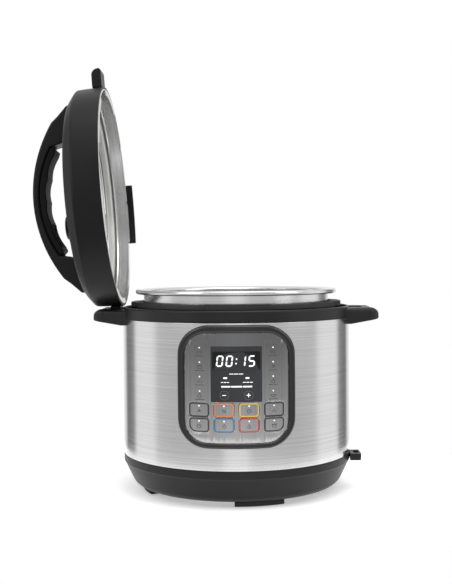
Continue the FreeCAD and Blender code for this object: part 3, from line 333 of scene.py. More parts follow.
def rowQuads(rows, n, closed=False, base=0):
    # four-sided faces between neighbouring rows of n points each; closed joins the last row to the first
    faces = []
    for k in range(rows if closed else rows - 1):
        m = (k + 1) % rows
        for i in range(n):
            j = (i + 1) % n
            faces.append((base + k * n + i, base + k * n + j, base + m * n + j, base + m * n + i))
    return faces


def slab(name, outline, depth, mat, body, nodes=(), matrix=None, bevel=0.001, widen=None):
    # an outline of (x, z) points, given depth along y to both sides
    verts = []
    n = len(outline)
    rows = 2 if widen is None else 9
    for k in range(rows):
        f = k / (rows - 1) * 2 - 1
        for x, z in outline:
            half = depth / 2 * (widen(x, z) if widen else 1)
            verts.append((x, f * half, z))
    faces = rowQuads(rows, n)
    faces.append(tuple(range(n)))
    faces.append(tuple((rows - 1) * n + i for i in range(n)))
    return madePiece(name, verts, faces, mat, body, nodes, matrix=matrix, bevel=bevel)


def roundedOutline(width, height, corner, steps=10, bulge=0.0, corners=None):
    # centred outline, counter-clockwise from the lower left; bulge pushes the sides' middles out
    radii = corners or [corner] * 4  # lower left, lower right, upper right, upper left
    spots = [(-1, -1, 180), (1, -1, 270), (1, 1, 0), (-1, 1, 90)]
    points = []
    for (sx, sy, first), r in zip(spots, radii):
        cx, cy = sx * (width / 2 - r), sy * (height / 2 - r)
        for s in range(steps + 1):
            a = math.radians(first + 90 * s / steps)
            points.append((cx + r * math.cos(a), cy + r * math.sin(a)))
    filled = []
    for i, p in enumerate(points):
        q = points[(i + 1) % len(points)]
        filled.append(p)
        gap = math.hypot(q[0] - p[0], q[1] - p[1])
        for s in range(1, int(gap / 0.002)):
            f = s / int(gap / 0.002)
            filled.append((p[0] + (q[0] - p[0]) * f, p[1] + (q[1] - p[1]) * f))
    result = []
    for x, y in filled:
        fx = 1 + bulge * (1 - min(1, abs(y) / (height / 2)) ** 2)
        fy = 1 + bulge * (1 - min(1, abs(x) / (width / 2)) ** 2)
        result.append((x * fx, y * fy))
    return result


def onShell(u, v, r):
    # u runs round the shell from the front, v is the height
    a = math.asin(max(-1, min(1, u / shellRadius)))
    return (r * math.sin(a), -r * math.cos(a), v)


def curvedPlate(name, outline, holes, back, front, mat, body, nodes=(), bevel=0.0004):
    # a plate bent round the shell: outline and holes are (u, v) loops
    bm = bmesh.new()
    for loop in [outline] + list(holes):
        verts = [bm.verts.new((u, 0, v)) for u, v in loop]
        for i, v in enumerate(verts):
            bm.edges.new((v, verts[(i + 1) % len(verts)]))
    bmesh.ops.triangle_fill(bm, use_beauty=True, use_dissolve=False, edges=bm.edges[:])
    low, high = min(p[0] for p in outline), max(p[0] for p in outline)
    cuts = max(2, int((high - low) / 0.003))
    for k in range(1, cuts):
        x = low + (high - low) * k / cuts
        geom = bm.verts[:] + bm.edges[:] + bm.faces[:]
        bmesh.ops.bisect_plane(bm, geom=geom, plane_co=(x, 0, 0), plane_no=(1, 0, 0))
    bm.verts.ensure_lookup_table()
    bm.verts.index_update()
    flat = [(v.co.x, v.co.z) for v in bm.verts]
    tris = [[v.index for v in f.verts] for f in bm.faces]
    rims = [(e.verts[0].index, e.verts[1].index) for e in bm.edges if len(e.link_faces) == 1]
    bm.free()
    n = len(flat)
    verts = [onShell(u, v, back) for u, v in flat] + [onShell(u, v, front) for u, v in flat]
    faces = [tuple(t) for t in tris] + [tuple(i + n for i in reversed(t)) for t in tris]
    faces += [(a, b, b + n, a + n) for a, b in rims]
    return madePiece(name, verts, faces, mat, body, nodes, bevel=bevel)


def band(name, loops, radii, mat, body, nodes=()):
    # a closed band round the panel: loops share one count of points, each at its own radius
    verts = []
    for loop, r in zip(loops, radii):
        verts += [onShell(u, v, r) for u, v in loop]
    faces = rowQuads(len(loops), len(loops[0]), closed=True)
    return madePiece(name, verts, faces, mat, body, nodes)


def marksOn(name, loops, radius, mat, body, thick=0.00012):
    # printed marks as very thin raised pieces that follow the shell
    raised, sunk = radius + thick, radius - 0.0003
    verts, faces = [], []
    for outer, inner in loops:
        base = len(verts)
        n = len(outer)
        if inner is None:
            verts += [onShell(u, v, raised) for u, v in outer]
            verts += [onShell(u, v, sunk) for u, v in outer]
            faces.append(tuple(range(base, base + n)))
            faces.append(tuple(reversed(range(base + n, base + 2 * n))))
            faces += rowQuads(2, n, base=base)
        else:
            for loop, r in ((outer, raised), (inner, raised), (inner, sunk), (outer, sunk)):
                verts += [onShell(u, v, r) for u, v in loop]
            faces += rowQuads(4, n, closed=True, base=base)
    return madePiece(name, verts, faces, mat, body, smooth=False)


def shifted(loop, du, dv):
    return [(u + du, v + dv) for u, v in loop]


def disc(radius, count=20):
    return [(radius * math.cos(2 * math.pi * k / count),
             radius * math.sin(2 * math.pi * k / count)) for k in range(count)]


def stroke(points, width, closed=False):
    # a ribbon along a line, as quads
    quads = []
    count = len(points) if closed else len(points) - 1
    for k in range(count):
        a, b = Vector(points[k]), Vector(points[(k + 1) % len(points)])
        along = (b - a).normalized()
        side = Vector((-along.y, along.x)) * width / 2
        a, b = a - along * width * 0.3, b + along * width * 0.3
        quads.append(([tuple(a - side), tuple(b - side), tuple(b + side), tuple(a + side)], None))
    return quads


# base and shell

base = {"band": 9 * mm, "step": 1.2 * mm, "wall": 2.6 * mm, "bottom": 117.5 * mm, "opening": 100 * mm}


def makeBase():
    r, low, top = shellRadius, baseLow, shellLow[2]
    band0 = top - base["band"]
    inner = r - base["wall"]
    profile = [
        (base["opening"], low), (base["bottom"], low, 0.004),
        (base["bottom"] + 6.5 * mm, low + 5 * mm, 0.003), (r - 5.2 * mm, low + 19 * mm, 0.006),
        (r - base["step"], band0 - 1.2 * mm, 0.0015), (r, band0, 0.0006), (r, top - 0.4 * mm, 0.0004),
        (inner, top - 0.4 * mm), (inner, band0), (base["bottom"] + 3.9 * mm, low + 7.6 * mm),
        (base["bottom"] - 2.6 * mm, low + 2.6 * mm), (base["opening"], low + 2.6 * mm),
    ]
    lathe("bottomBase", profile, blackBody, "cooker", ["bottom_base"])
    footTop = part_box("feet")[1][2]
    feet = {"inner": 101.3 * mm, "outer": 113.7 * mm, "sweep": 29, "turn": 13}
    for k in range(4):
        shape = [(feet["inner"], 0.0), (feet["outer"], 0.0), (feet["outer"], footTop),
                 (feet["inner"], footTop)]
        start = 270 + feet["turn"] + 90 * k - feet["sweep"] / 2
        names = ["feet"] if k == 0 else []
        lathe(f"foot{k}", shape, footRubber, "cooker", names, around=24, start=start, sweep=feet["sweep"],
              radius=0.0015)


def makeShell():
    r, low, top = shellRadius, shellLow[2], shellHigh[2]
    lathe("steelShell", [
        (r - 0.8 * mm, low), (r - 0.15 * mm, low, 0.0003), (r - 0.15 * mm, top, 0.0003),
        (r - 0.8 * mm, top),
    ], steelShell, "cooker", ["outer_shell"], around=256, radius=0.0002)


def makeRing():
    r, low = shellRadius, shellHigh[2]
    inner = r - 2.8 * mm
    trough = low + 4 * mm
    hub = 115.6 * mm
    lathe("topRing", [
        (hub, low), (r - 0.1 * mm, low + 0.3 * mm), (r, low + 1.2 * mm), (r, ringTop - 1.4 * mm, 0.0016),
        (r - 1.4 * mm, ringTop, 0.0012), (inner, ringTop, 0.0008), (inner, trough, 0.002), (hub, trough),
    ], blackRing, "cooker", ["top_ring"], around=256)


def makeBayonet():
    low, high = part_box("bayonet_ring")
    tip, root = 126 * mm, 121.4 * mm
    hub, inner, chamber = 119.8 * mm, 114 * mm, 115.1 * mm
    lug = high[2] - 6 * mm

    def toothed(angle, r, z):
        # six lugs of 24 degrees with 36 degrees between them
        away = (angle - 30 + 30) % 60 - 30
        if r > root and abs(away) < 18:
            return root
        return r
    lathe("bayonetRing", [
        (chamber, low[2]), (hub, low[2]), (hub, lug, 0.001), (tip, lug, 0.0008), (tip, high[2], 0.0012),
        (inner, high[2], 0.001), (inner, high[2] - 3 * mm), (chamber, high[2] - 3 * mm),
    ], darkCoat, "cooker", ["bayonet_ring"], around=360, reach=toothed)


makeBase()
makeShell()
makeRing()
makeBayonet()
print("base, shell and rings made")


def makePot():
    low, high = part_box("inner_pot")
    r, wall, corner, rim = 111 * mm, 0.8 * mm, 13 * mm, 120.5 * mm
    z0, z1 = low[2], high[2]
    roll = 2.7 * mm
    lathe("innerPot", [
        (0, z0), (r, z0, corner * 1.6), (r, z1 - 3.4 * mm, 0.0014), (r + 3.6 * mm, z1 - 2.9 * mm, 0.001),
        (r + 4.6 * mm, z1 - 2 * roll, 0.0012), (rim, z1 - 2 * roll, 0.0026), (rim, z1, 0.0028),
        (r + 2.4 * mm, z1, 0.003), (r - wall, z1 - 2.6 * mm, 0.0012),
        (r - wall, z0 + 2.2 * mm, corner * 1.5), (0, z0 + 2.2 * mm),
    ], steelPot, "pot", ["inner_pot"], around=256, closed=False)


makePot()


# side handles

sideHandle = {"reach": 33.5 * mm, "width": 84 * mm, "slotDepth": 15.5 * mm, "slotWidth": 38 * mm}


def makeSideHandle(name, side):
    node = f"{name}_handle"
    low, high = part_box(node)
    top, under = high[2], low[2]
    tip = shellRadius + sideHandle["reach"]
    half = sideHandle["width"] / 2
    slotIn, slotOut = shellRadius + 0.4 * mm, shellRadius + 0.4 * mm + sideHandle["slotDepth"]
    slotHalf = sideHandle["slotWidth"] / 2
    # seen from above: one side's edge from the shell to the tip's middle; the root is sunk into the ring
    corner = 15 * mm
    edge = []
    for s in range(5):
        f = s / 4
        edge.append((123 * mm + f * 12 * mm, half + 4.5 * mm * (1 - f) ** 2 - 0.4 * mm))
    for s in range(13):
        a = math.radians(90 - 90 * s / 12)
        edge.append((tip - corner + corner * math.cos(a), half - 6 * mm - corner + corner * math.sin(a)))
    plan = [(x, -y) for x, y in edge] + [(x, y) for x, y in reversed(edge)]
    n = len(plan)
    # the slot's loop has as many points as the plan, so that rows of faces join them
    slot = []
    for k, (x, y) in enumerate(plan):
        if k < 6:
            slot.append((slotIn + (slotOut - slotIn) * k / 6, -slotHalf))
        elif k >= n - 6:
            slot.append((slotIn + (slotOut - slotIn) * (n - 1 - k) / 6, slotHalf))
        else:
            slot.append((slotOut, slotHalf * (-1 + 2 * (k - 6) / (n - 13))))

    def heightTop(x, f):
        slope = max(0, (x - (tip - 9 * mm)) / (9 * mm))
        return top - 4.5 * mm * slope ** 1.3 - f

    def heightLow(x):
        return under + 5.5 * mm * max(0, (x - shellRadius) / sideHandle["reach"])

    def inwards(x, y, f):
        cx = 150 * mm
        return (cx + (x - cx) * (1 - f * 0.9) if x > cx else x, y * (1 - f))
    rows = []

    def row(loop, shrink, drop, upper):
        pts = []
        for x, y in loop:
            xx, yy = inwards(x, y, shrink)
            pts.append((xx, yy, heightTop(xx, drop) if upper else heightLow(xx) + drop))
        rows.append(pts)
    row(slot, 0, 6 * mm, True)
    row(slot, 0, 0.5 * mm, True)
    rows.append([(x + (0.5 * mm if x > slotOut - 1e-6 else 0), y * 1.03, heightTop(x, 0)) for x, y in slot])
    row(plan, 0.13, 0.1 * mm, True)
    row(plan, 0.06, 0.9 * mm, True)
    row(plan, 0.025, 1.9 * mm, True)
    row(plan, 0.006, 3.2 * mm, True)
    row(plan, 0, 5 * mm, True)
    row(plan, 0, 2 * mm, False)
    row(plan, 0.012, 0.6 * mm, False)
    row(plan, 0.04, 0, False)
    row(slot, 0, 0, False)
    verts, faces = [], []
    for r in rows:
        verts += [(side * x, side * y, z) for x, y, z in r]
    for k in range(len(rows)):
        m = (k + 1) % len(rows)
        for i in range(n - 1):
            faces.append((k * n + i, k * n + i + 1, m * n + i + 1, m * n + i))
    # the slot's inner wall, and the bridge of the body beside the shell
    faces.append(tuple(k * n for k in range(len(rows))))
    faces.append(tuple(k * n + n - 1 for k in range(len(rows))))
    madePiece(f"{name}Handle", verts, faces, blackRing, "cooker", [node])


makeSideHandle("left", -1)
makeSideHandle("right", 1)
print("pot and handles made")


# control panel

panel = {
    "width": 125 * mm, "height": 133 * mm, "corner": 30 * mm, "stand": 5.5 * mm,
    "faceWidth": 111.6 * mm, "faceHeight": 118.4 * mm, "faceCorner": 23 * mm, "faceDrop": 8.4 * mm,
    "keyWidth": 20.6 * mm, "keyHeight": 14.8 * mm, "keyPitch": 26.3 * mm, "rowPitch": 16.4 * mm,
    "rowRise": 19.4 * mm,
}
frameLow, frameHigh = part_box("panel_frame")
faceLow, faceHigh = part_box("panel_face")
faceFront = shellRadius + 3.2 * mm
panelMiddle = (frameLow[2] + frameHigh[2]) / 2
faceMiddle = (faceLow[2] + faceHigh[2]) / 2
displayLow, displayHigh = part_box("display_window")
keyNames = ["key_less", "key_stop_left", "key_stop_right", "key_more", "key_light", "key_warm", "key_cook",
            "key_timer"]


def keyPlace(k):
    low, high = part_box(keyNames[k])
    return ((low[0] + high[0]) / 2 * 1.012, (low[2] + high[2]) / 2)


def keyLoop(k, grow):
    lower = k < 4
    r = 3 * mm
    big = 7.5 * mm
    corners = [big if lower and k == 0 else r, big if lower and k == 3 else r, r, r]
    corners = [c + grow for c in corners]
    u, v = keyPlace(k)
    loop = roundedOutline(panel["keyWidth"] + 2 * grow, panel["keyHeight"] + 2 * grow, r, steps=5,
                          corners=corners)
    return shifted(loop, u, v)


def makeFrame():
    outer = roundedOutline(panel["width"] - 1.6 * mm, panel["height"] - 1.2 * mm, panel["corner"],
                           bulge=0.012)
    outer = shifted(outer, 0, panelMiddle)
    inner = roundedOutline(panel["faceWidth"] - 1.6 * mm, panel["faceHeight"] - 1.2 * mm,
                           panel["faceCorner"], bulge=0.012)
    inner = shifted(inner, 0, faceMiddle)
    count = len(outer)

    def matched(loop):
        # the inner loop gets the outer one's count of points, along its own length
        lengths = [0]
        for i in range(len(loop)):
            a, b = loop[i], loop[(i + 1) % len(loop)]
            lengths.append(lengths[-1] + math.hypot(b[0] - a[0], b[1] - a[1]))
        result, k = [], 0
        for i in range(count):
            want = lengths[-1] * i / count
            while lengths[k + 1] < want:
                k += 1
            f = (want - lengths[k]) / max(1e-9, lengths[k + 1] - lengths[k])
            a, b = loop[k], loop[(k + 1) % len(loop)]
            result.append((a[0] + (b[0] - a[0]) * f, a[1] + (b[1] - a[1]) * f))
        return result
    outer, inner = matched(outer), matched(inner)

    def between(f):
        return [(a[0] + (b[0] - a[0]) * f, a[1] + (b[1] - a[1]) * f) for a, b in zip(outer, inner)]
    r, stand = shellRadius, panel["stand"]
    steps = [(0, 0), (0, 2.6), (0.06, 4.2), (0.2, 5.2), (0.4, 5.5), (0.62, 5.3), (0.82, 4.6), (0.94, 3.9),
             (1.0, 3.2), (1.0, 0.6), (0.5, 0.2)]
    loops = [between(f) for f, _ in steps]
    radii = [r + h * mm * stand / (5.5 * mm) for _, h in steps]
    band("panelFrame", loops, radii, blackGloss, "cooker", ["panel_frame"])


def makeFace():
    width, height = panel["faceWidth"] - 1.0 * mm, panel["faceHeight"] - 0.6 * mm
    outline = shifted(roundedOutline(width, height, panel["faceCorner"], bulge=0.012), 0, faceMiddle)
    holes = [keyLoop(k, 0.35 * mm) for k in range(8)]
    curvedPlate("panelFace", outline, holes, faceFront - 2 * mm, faceFront, steelFace, "cooker",
                ["panel_face"], bevel=0)
    for k in range(8):
        curvedPlate(keyNames[k] + "Cap", keyLoop(k, 0), [], faceFront - 1.8 * mm, faceFront + 0.15 * mm,
                    steelFace,
                    keyNames[k], [keyNames[k]], bevel=0.0003)
    width, height = displayHigh[0] - displayLow[0], displayHigh[2] - displayLow[2]
    loop = shifted(roundedOutline(width, height, 1.5 * mm, steps=4), 0,
                   (displayLow[2] + displayHigh[2]) / 2)
    curvedPlate("displayWindow", loop, [], faceFront - 0.3 * mm, faceFront + 0.35 * mm, screenDark,
                "cooker", ["display_window"],
                bevel=0.0002)


segments = {  # which strokes of a seven-stroke digit are lit
    "0": "abcdef", "1": "bc", "5": "acdfg",
}


def digitLoops(sign, u, v, w, h, t):
    slant = 0.12
    bars = {
        "a": [(-w / 2, h / 2), (w / 2, h / 2)], "g": [(-w / 2, 0), (w / 2, 0)],
        "d": [(-w / 2, -h / 2), (w / 2, -h / 2)], "b": [(w / 2, h / 2), (w / 2, 0)],
        "c": [(w / 2, 0), (w / 2, -h / 2)], "f": [(-w / 2, h / 2), (-w / 2, 0)],
        "e": [(-w / 2, 0), (-w / 2, -h / 2)],
    }
    loops = []
    for key in segments[sign]:
        a, b = (Vector(p) for p in bars[key])
        along = (b - a).normalized()
        side = Vector((-along.y, along.x)) * t / 2
        a, b = a + along * t * 0.62, b - along * t * 0.62
        shape = [a - along * t * 0.45, a - side, b - side, b + along * t * 0.45, b + side, a + side]
        loops.append(([(p.x + p.y * slant + u, p.y + v) for p in shape], None))
    return loops


def makeDisplay():
    top = displayHigh[2]
    front = faceFront + 0.35 * mm
    glassLow, glassHigh = top - 25.6 * mm, top - 5.6 * mm
    loop = shifted(roundedOutline(50.2 * mm, glassHigh - glassLow, 0.6 * mm, steps=3), 0,
                   (glassLow + glassHigh) / 2)
    marksOn("displayGlass", [(loop, None)], front, screenGlass, "cooker")
    middleV = (glassLow + glassHigh) / 2 - 0.2 * mm
    loops = []
    for sign, u in (("0", -17.2), ("0", -7.2), ("1", 6.4), ("5", 16.2)):
        loops += digitLoops(sign, u * mm, middleV, 5.6 * mm, 10.6 * mm, 1.5 * mm)
    for dv in (-2.6, 2.2):
        loops.append((shifted(disc(0.85 * mm, 12), 0.1 * mm + dv * 0.12 * mm, middleV + dv * mm), None))
    marksOn("displayDigits", loops, front + 0.15 * mm, whiteMark, "cooker")
    loops = []
    for u in (-11.6, 11.6):
        loops.append((shifted(roundedOutline(4.0 * mm, 1.7 * mm, 0.3 * mm, steps=2), u * mm, top - 34 * mm),
                      None))
    for u, w in ((-11.0, 9.6), (0.4, 11.6), (11.8, 9.4)):
        loops.append((shifted(roundedOutline(w * mm, 1.5 * mm, 0.2 * mm, steps=2), u * mm, top - 43.2 * mm),
                      None))
    # minus and plus
    v = top - 52.6 * mm
    loops += stroke([(-14.6 * mm, v), (-11.0 * mm, v)], 0.75 * mm)
    loops += stroke([(10.8 * mm, v), (14.6 * mm, v)], 0.75 * mm)
    loops += stroke([(12.7 * mm, v - 1.9 * mm), (12.7 * mm, v + 1.9 * mm)], 0.75 * mm)
    # short dashes where a maker prints the names of the modes
    for u, w, dv in ((0, 15, -29.6), (-11.8, 9, -38.6), (12, 11, -38.6)):
        for k in range(3):
            loops += stroke([((u - w / 2 + k * w / 3 + 0.5) * mm, top + dv * mm),
                             ((u - w / 2 + (k + 1) * w / 3 - 0.5) * mm, top + dv * mm)], 0.7 * mm)
    # the printed minus, plus and dashes share the lamps' glowing white, so on them the glow is painted light
    marksOn("displayMarks", loops, front, whiteMark, "cooker")
    # painted shade: grey rings round the minus and plus stand in for the shading round the edges of their
    # embossed domes
    rings = [(shifted(disc(4.9 * mm, 32), u * mm, v),
              shifted(disc(4.6 * mm, 32), u * mm, v)) for u in (-12.7, 12.7)]
    marksOn("paintedDomeShadeRings", rings, front - 0.06 * mm, greyInkAndDomeShade, "cooker")


def circleAt(u, v, r, count=20):
    return shifted(disc(r, count), u, v)


def iconStrokes(kind, u, v, s):
    # plain pictures in place of words: bowl, steam, clock, flame, grain, drop, leaf, pot
    w = 0.55 * mm

    def line(points, closed=False):
        return stroke([(u + x * s, v + y * s) for x, y in points], w, closed)

    def arc(cx, cy, r, a, b, count=10):
        return [(cx + r * math.cos(math.radians(a + (b - a) * k / count)),
                 cy + r * math.sin(math.radians(a + (b - a) * k / count)))
                for k in range(count + 1)]
    if kind == "bowl":
        return line(arc(0, 0.3, 1, 180, 360)) + line([(-1.2, 0.3), (1.2, 0.3)])
    if kind == "steam":
        return [q for k in (-0.7, 0, 0.7) for q in line([(k, -0.8), (k + 0.25, -0.3), (k - 0.2, 0.3),
                                                         (k + 0.1, 0.9)])]
    if kind == "clock":
        return line(arc(0, 0, 1, 0, 360, 18)) + line([(0, 0.6), (0, 0), (0.5, 0)])
    if kind == "flame":
        return line(arc(0, -0.2, 0.75, 150, 390) + [(0.1, 1.1)], True)
    if kind == "grain":
        return [q for x, y in ((-0.8, -0.4), (0, 0.3),
                               (0.8, -0.4)) for q in line([(x - 0.2, y - 0.3), (x + 0.2, y + 0.4)])]
    if kind == "drop":
        return line([(0, 1)] + arc(0, -0.3, 0.7, 150, 390), True)
    if kind == "leaf":
        return line(arc(-0.3, -0.3, 1, 0, 90)) + line(arc(0.7, 0.7, 1, 180, 270)) + line([(-0.7, -0.7),
                (0.4, 0.4)])
    return line([(-1, 0.4), (-0.8, -0.8), (0.8, -0.8), (1, 0.4)], True) + line([(-1.1, 0.75), (1.1, 0.75)])


def makeMarks():
    # thin dark outline that gathers each side column, joined to the key rows
    right = 48.4 * mm
    inner = 29.8 * mm
    topV, lowV = faceMiddle + 50.5 * mm, faceLow[2] + 45.6 * mm
    corner = 12 * mm
    loops = []
    for side in (-1, 1):
        line = [(side * inner, topV)]
        for s in range(9):
            a = math.radians(90 - 90 * s / 8)
            line.append((side * (right - corner + corner * math.cos(a)),
                         topV - corner + corner * math.sin(a)))
        for s in range(1, 13):
            line.append((side * right, topV - corner + (lowV - topV + corner) * s / 12))
        line.append((side * inner, lowV))
        loops += stroke(line, 0.35 * mm)
        loops += stroke([(side * inner, lowV + (topV - lowV) * s / 16) for s in range(17)], 0.35 * mm)
    marksOn("columnLines", loops, faceFront, greyInkAndDomeShade, "cooker")
    # keys' rims
    inks = [inkBlack, inkBlue, inkRed, inkBlack, inkBlack, inkOrange, inkYellow, inkBlack]
    for k in range(8):
        rim = keyLoop(k, -0.1 * mm)
        inside = keyLoop(k, -1.15 * mm)
        marksOn(f"keyRim{k}", [(rim, inside)], faceFront + 0.15 * mm, inks[k], keyNames[k])
    kinds = ["clock", "flame", "drop", "pot", "leaf", "steam", "clock", "grain"]
    for k in range(8):
        u, v = keyPlace(k)
        loops = iconStrokes(kinds[k], u, v - 1.2 * mm, 2.1 * mm)
        marksOn(f"keyPicture{k}", loops, faceFront + 0.15 * mm, inkDark, keyNames[k])
        loops = [(circleAt(u, v + 4.3 * mm, 0.75 * mm, 12), None)]
        marksOn(f"keyLamp{k}", loops, faceFront + 0.15 * mm, whiteMark, keyNames[k])
    pictures, lamps = [], []
    order = ["bowl", "pot", "grain", "flame", "steam", "leaf", "drop", "bowl"]
    for side in (-1, 1):
        for row in range(4):
            u = side * 38.8 * mm
            v = topV - (10.5 + 15.6 * row) * mm
            pictures += iconStrokes(order.pop(0), u, v - 1.5 * mm, 2.4 * mm)
            pictures += stroke([(u - 4.6 * mm, v - 5.4 * mm), (u + 4.6 * mm, v - 5.4 * mm)], 0.7 * mm)
            lamps.append((circleAt(u, v + 3.6 * mm, 0.75 * mm, 12), None))
    marksOn("columnPictures", pictures, faceFront, inkDark, "cooker")
    marksOn("columnLamps", lamps, faceFront, whiteMark, "cooker")


makeFrame()
makeFace()
makeDisplay()
makeMarks()
print("control panel made")


# lid, in the lid's own frame

lidBody = {
    "radius": 131.5 * mm, "skirt": 33 * mm, "shoulder": (116 * mm, 43 * mm), "top": (80 * mm, 49.2 * mm),
    "wall": 2.3 * mm,
}


def makeLidCover():
    r, wall = lidBody["radius"], lidBody["wall"]
    sx, sz = lidBody["shoulder"]
    tx, tz = lidBody["top"]
    lathe("lidCover", [
        (0, tz), (tx, tz, 0.012), (sx, sz, 0.006), (r - 1.8 * mm, lidBody["skirt"] - 0.6 * mm, 0.0022),
        (r, 1 * mm, 0.0008), (r - wall, 1 * mm, 0.0005), (r - wall, lidBody["skirt"] - 1.5 * mm, 0.003),
        (sx - 1.3 * mm, sz - wall, 0.006), (tx - 0.5 * mm, tz - wall, 0.01), (0, tz - wall),
    ], blackLid, "lid", ["lid_cover"], around=256, closed=False, matrix=lidMatrix)


archShape = {"top": 97.7 * mm, "radius": 160 * mm, "end": 93 * mm, "width": 38 * mm, "foot": 111.5 * mm}
gripShape = {"height": 81 * mm, "radius": 120 * mm, "wall": 8.5 * mm, "end": 60 * mm, "width": 34 * mm}


def arcHeight(top, radius, x):
    return top - radius + math.sqrt(radius * radius - x * x)


def makeLidHandle():
    a, g = archShape, gripShape
    outer, seam = [], []
    for k in range(33):
        x = a["end"] - 2 * a["end"] * k / 32
        outer.append((x, arcHeight(a["top"], a["radius"], x)))
    end = g["end"] + 5 * mm
    seamRadius = g["radius"] + 1.7 * mm
    for k in range(25):
        x = -end + 2 * end * k / 24
        seam.append((x, arcHeight(g["height"] + g["wall"], seamRadius, x)))
    foot = a["foot"]
    floor = 41 * mm
    outline = [(foot, floor), (foot, 47.6 * mm), (foot - 4.5 * mm, 52 * mm),
               (a["end"] + 6 * mm, 60.5 * mm)] + outer
    outline += [(-a["end"] - 6 * mm, 60.5 * mm), (4.5 * mm - foot, 52 * mm), (-foot, 47.6 * mm),
                (-foot, floor)]
    gap = g["end"] + 4 * mm
    outline += [(-gap - 7 * mm, floor), (-gap - 6.5 * mm, 50.5 * mm), (-gap - 5.5 * mm, 54 * mm),
                (-gap - 3.2 * mm, 60 * mm)] + seam
    outline += [(gap + 3.2 * mm, 60 * mm), (gap + 5.5 * mm, 54 * mm), (gap + 6.5 * mm, 50.5 * mm),
                (gap + 7 * mm, floor)]

    def spread(x, z):
        # wider where it meets the cover
        return 0.95 + 0.36 * min(1, abs(x) / foot) ** 4
    slab("lidHandle", outline, a["width"], blackLid, "lid", ["lid_handle"], matrix=lidMatrix, bevel=0.003,
         widen=spread)

    def scallop(x):
        # four finger hollows
        return 1.5 * mm * abs(math.sin(math.pi * (x / (2 * g["end"]) * 4.4))) ** 0.9
    lower = []
    for k in range(81):
        x = g["end"] - 2 * g["end"] * k / 80
        lower.append((x, arcHeight(g["height"], g["radius"], x) + scallop(x) - 0.2 * mm))
    upper = []
    for k in range(41):
        x = -end + 2 * end * k / 40
        upper.append((x, arcHeight(g["height"] + g["wall"], seamRadius, x) - 0.15 * mm))
    slab("lidGrip", lower + upper, g["width"], gripRubber, "lid", ["lid_grip"], matrix=lidMatrix,
         bevel=0.0012)


fin = {"length": 22 * mm, "width": 34 * mm, "low": 4.5 * mm, "high": 16 * mm}


def makeFins():
    root, tip = lidBody["radius"] - 1.2 * mm, lidBody["radius"] + fin["length"]
    low, high = fin["low"], fin["high"]
    outline = [(root, low), (tip - 4 * mm, low)]
    for k in range(7):
        a = math.radians(-90 + 90 * k / 6)
        outline.append((tip - 3 * mm + 3 * mm * math.cos(a), low + 3 * mm + 3 * mm * math.sin(a)))
    for k in range(9):
        a = math.radians(10 + 75 * k / 8)
        outline.append((tip - 8.2 * mm + 8 * mm * math.cos(a), high - 8 * mm + 8 * mm * math.sin(a)))
    outline.append((root, high))
    for k, side in enumerate((1, -1)):
        shape = [(side * x, z) for x, z in outline]
        slab(f"lidFin{k}", shape, fin["width"], blackLid, "lid", ["lid_fins"] if k == 0 else [],
             matrix=lidMatrix, bevel=0.0012)


def makeDripTab():
    r = lidBody["radius"] - 0.4 * mm
    lathe("dripTab", [(r, -7 * mm), (r + 3.5 * mm, -7 * mm), (r + 3.5 * mm, 22 * mm), (r, 22 * mm)],
          blackLid, "lid", ["drip_tab"],
          around=40, start=96.4 - 17, sweep=34, radius=0.0012, matrix=lidMatrix)


def makeSteelLid():
    outer = 129 * mm
    inner = outer - 1.5 * mm
    lugs = 121.8 * mm

    def gapped(angle, r, z):
        # the turned-in rim is cut back to the skirt in six gaps of 25 degrees
        away = (angle - 102 + 30) % 60 - 30
        if z < 3 * mm and r < inner and abs(away) < 12.4:
            return inner
        return r
    lathe("steelLid", [
        (0, 34.5 * mm), (60 * mm, 34.5 * mm, 0.003), (61.5 * mm, 33.6 * mm, 0.001),
        (84 * mm, 33.6 * mm, 0.001), (85.5 * mm, 34.5 * mm, 0.001), (101 * mm, 34.5 * mm, 0.003),
        (102.5 * mm, 27 * mm, 0.002), (inner, 27 * mm, 0.003), (inner, 19 * mm, 0.001),
        (inner - 0.5 * mm, 17.5 * mm, 0.001), (inner, 16 * mm, 0.001), (inner, 2.2 * mm, 0.0008),
        (lugs, 2.2 * mm, 0.0005), (lugs, 0.6 * mm, 0.0005), (outer - 0.8 * mm, 0.6 * mm, 0.0007),
        (outer, 1.4 * mm, 0.0005), (outer, 28.5 * mm, 0.003), (104 * mm, 28.5 * mm), (101 * mm, 36 * mm),
        (0, 36 * mm),
    ], steelLidMat, "lid", ["steel_lid"], around=360, closed=False, matrix=lidMatrix, reach=gapped)
    lathe("sealingRing", [
        (108.1 * mm, 26.8 * mm), (108.1 * mm, 20 * mm), (112 * mm, 19 * mm), (112.5 * mm, 23.4 * mm),
        (116.5 * mm, 23.4 * mm), (117 * mm, 19 * mm), (121 * mm, 20 * mm), (121 * mm, 26.8 * mm),
    ], silicone, "lid", ["sealing_ring"], around=200, matrix=lidMatrix, radius=0.0009)
    wire = [(106.6 * mm + 1.15 * mm * math.cos(2 * math.pi * k / 10),
             25.8 * mm + 1.15 * mm * math.sin(2 * math.pi * k / 10)) for k in range(10)]
    lathe("sealRack", wire, steelSmall, "lid", ["sealing_ring_rack"], around=200, matrix=lidMatrix,
          radius=0)


makeLidCover()
makeLidHandle()
makeFins()
makeDripTab()
makeSteelLid()
print("lid made")


# small pieces

def steamPlace(x, y):
    m = lidMatrix.copy()
    return m @ Matrix.Translation((x * mm, y * mm, 0))


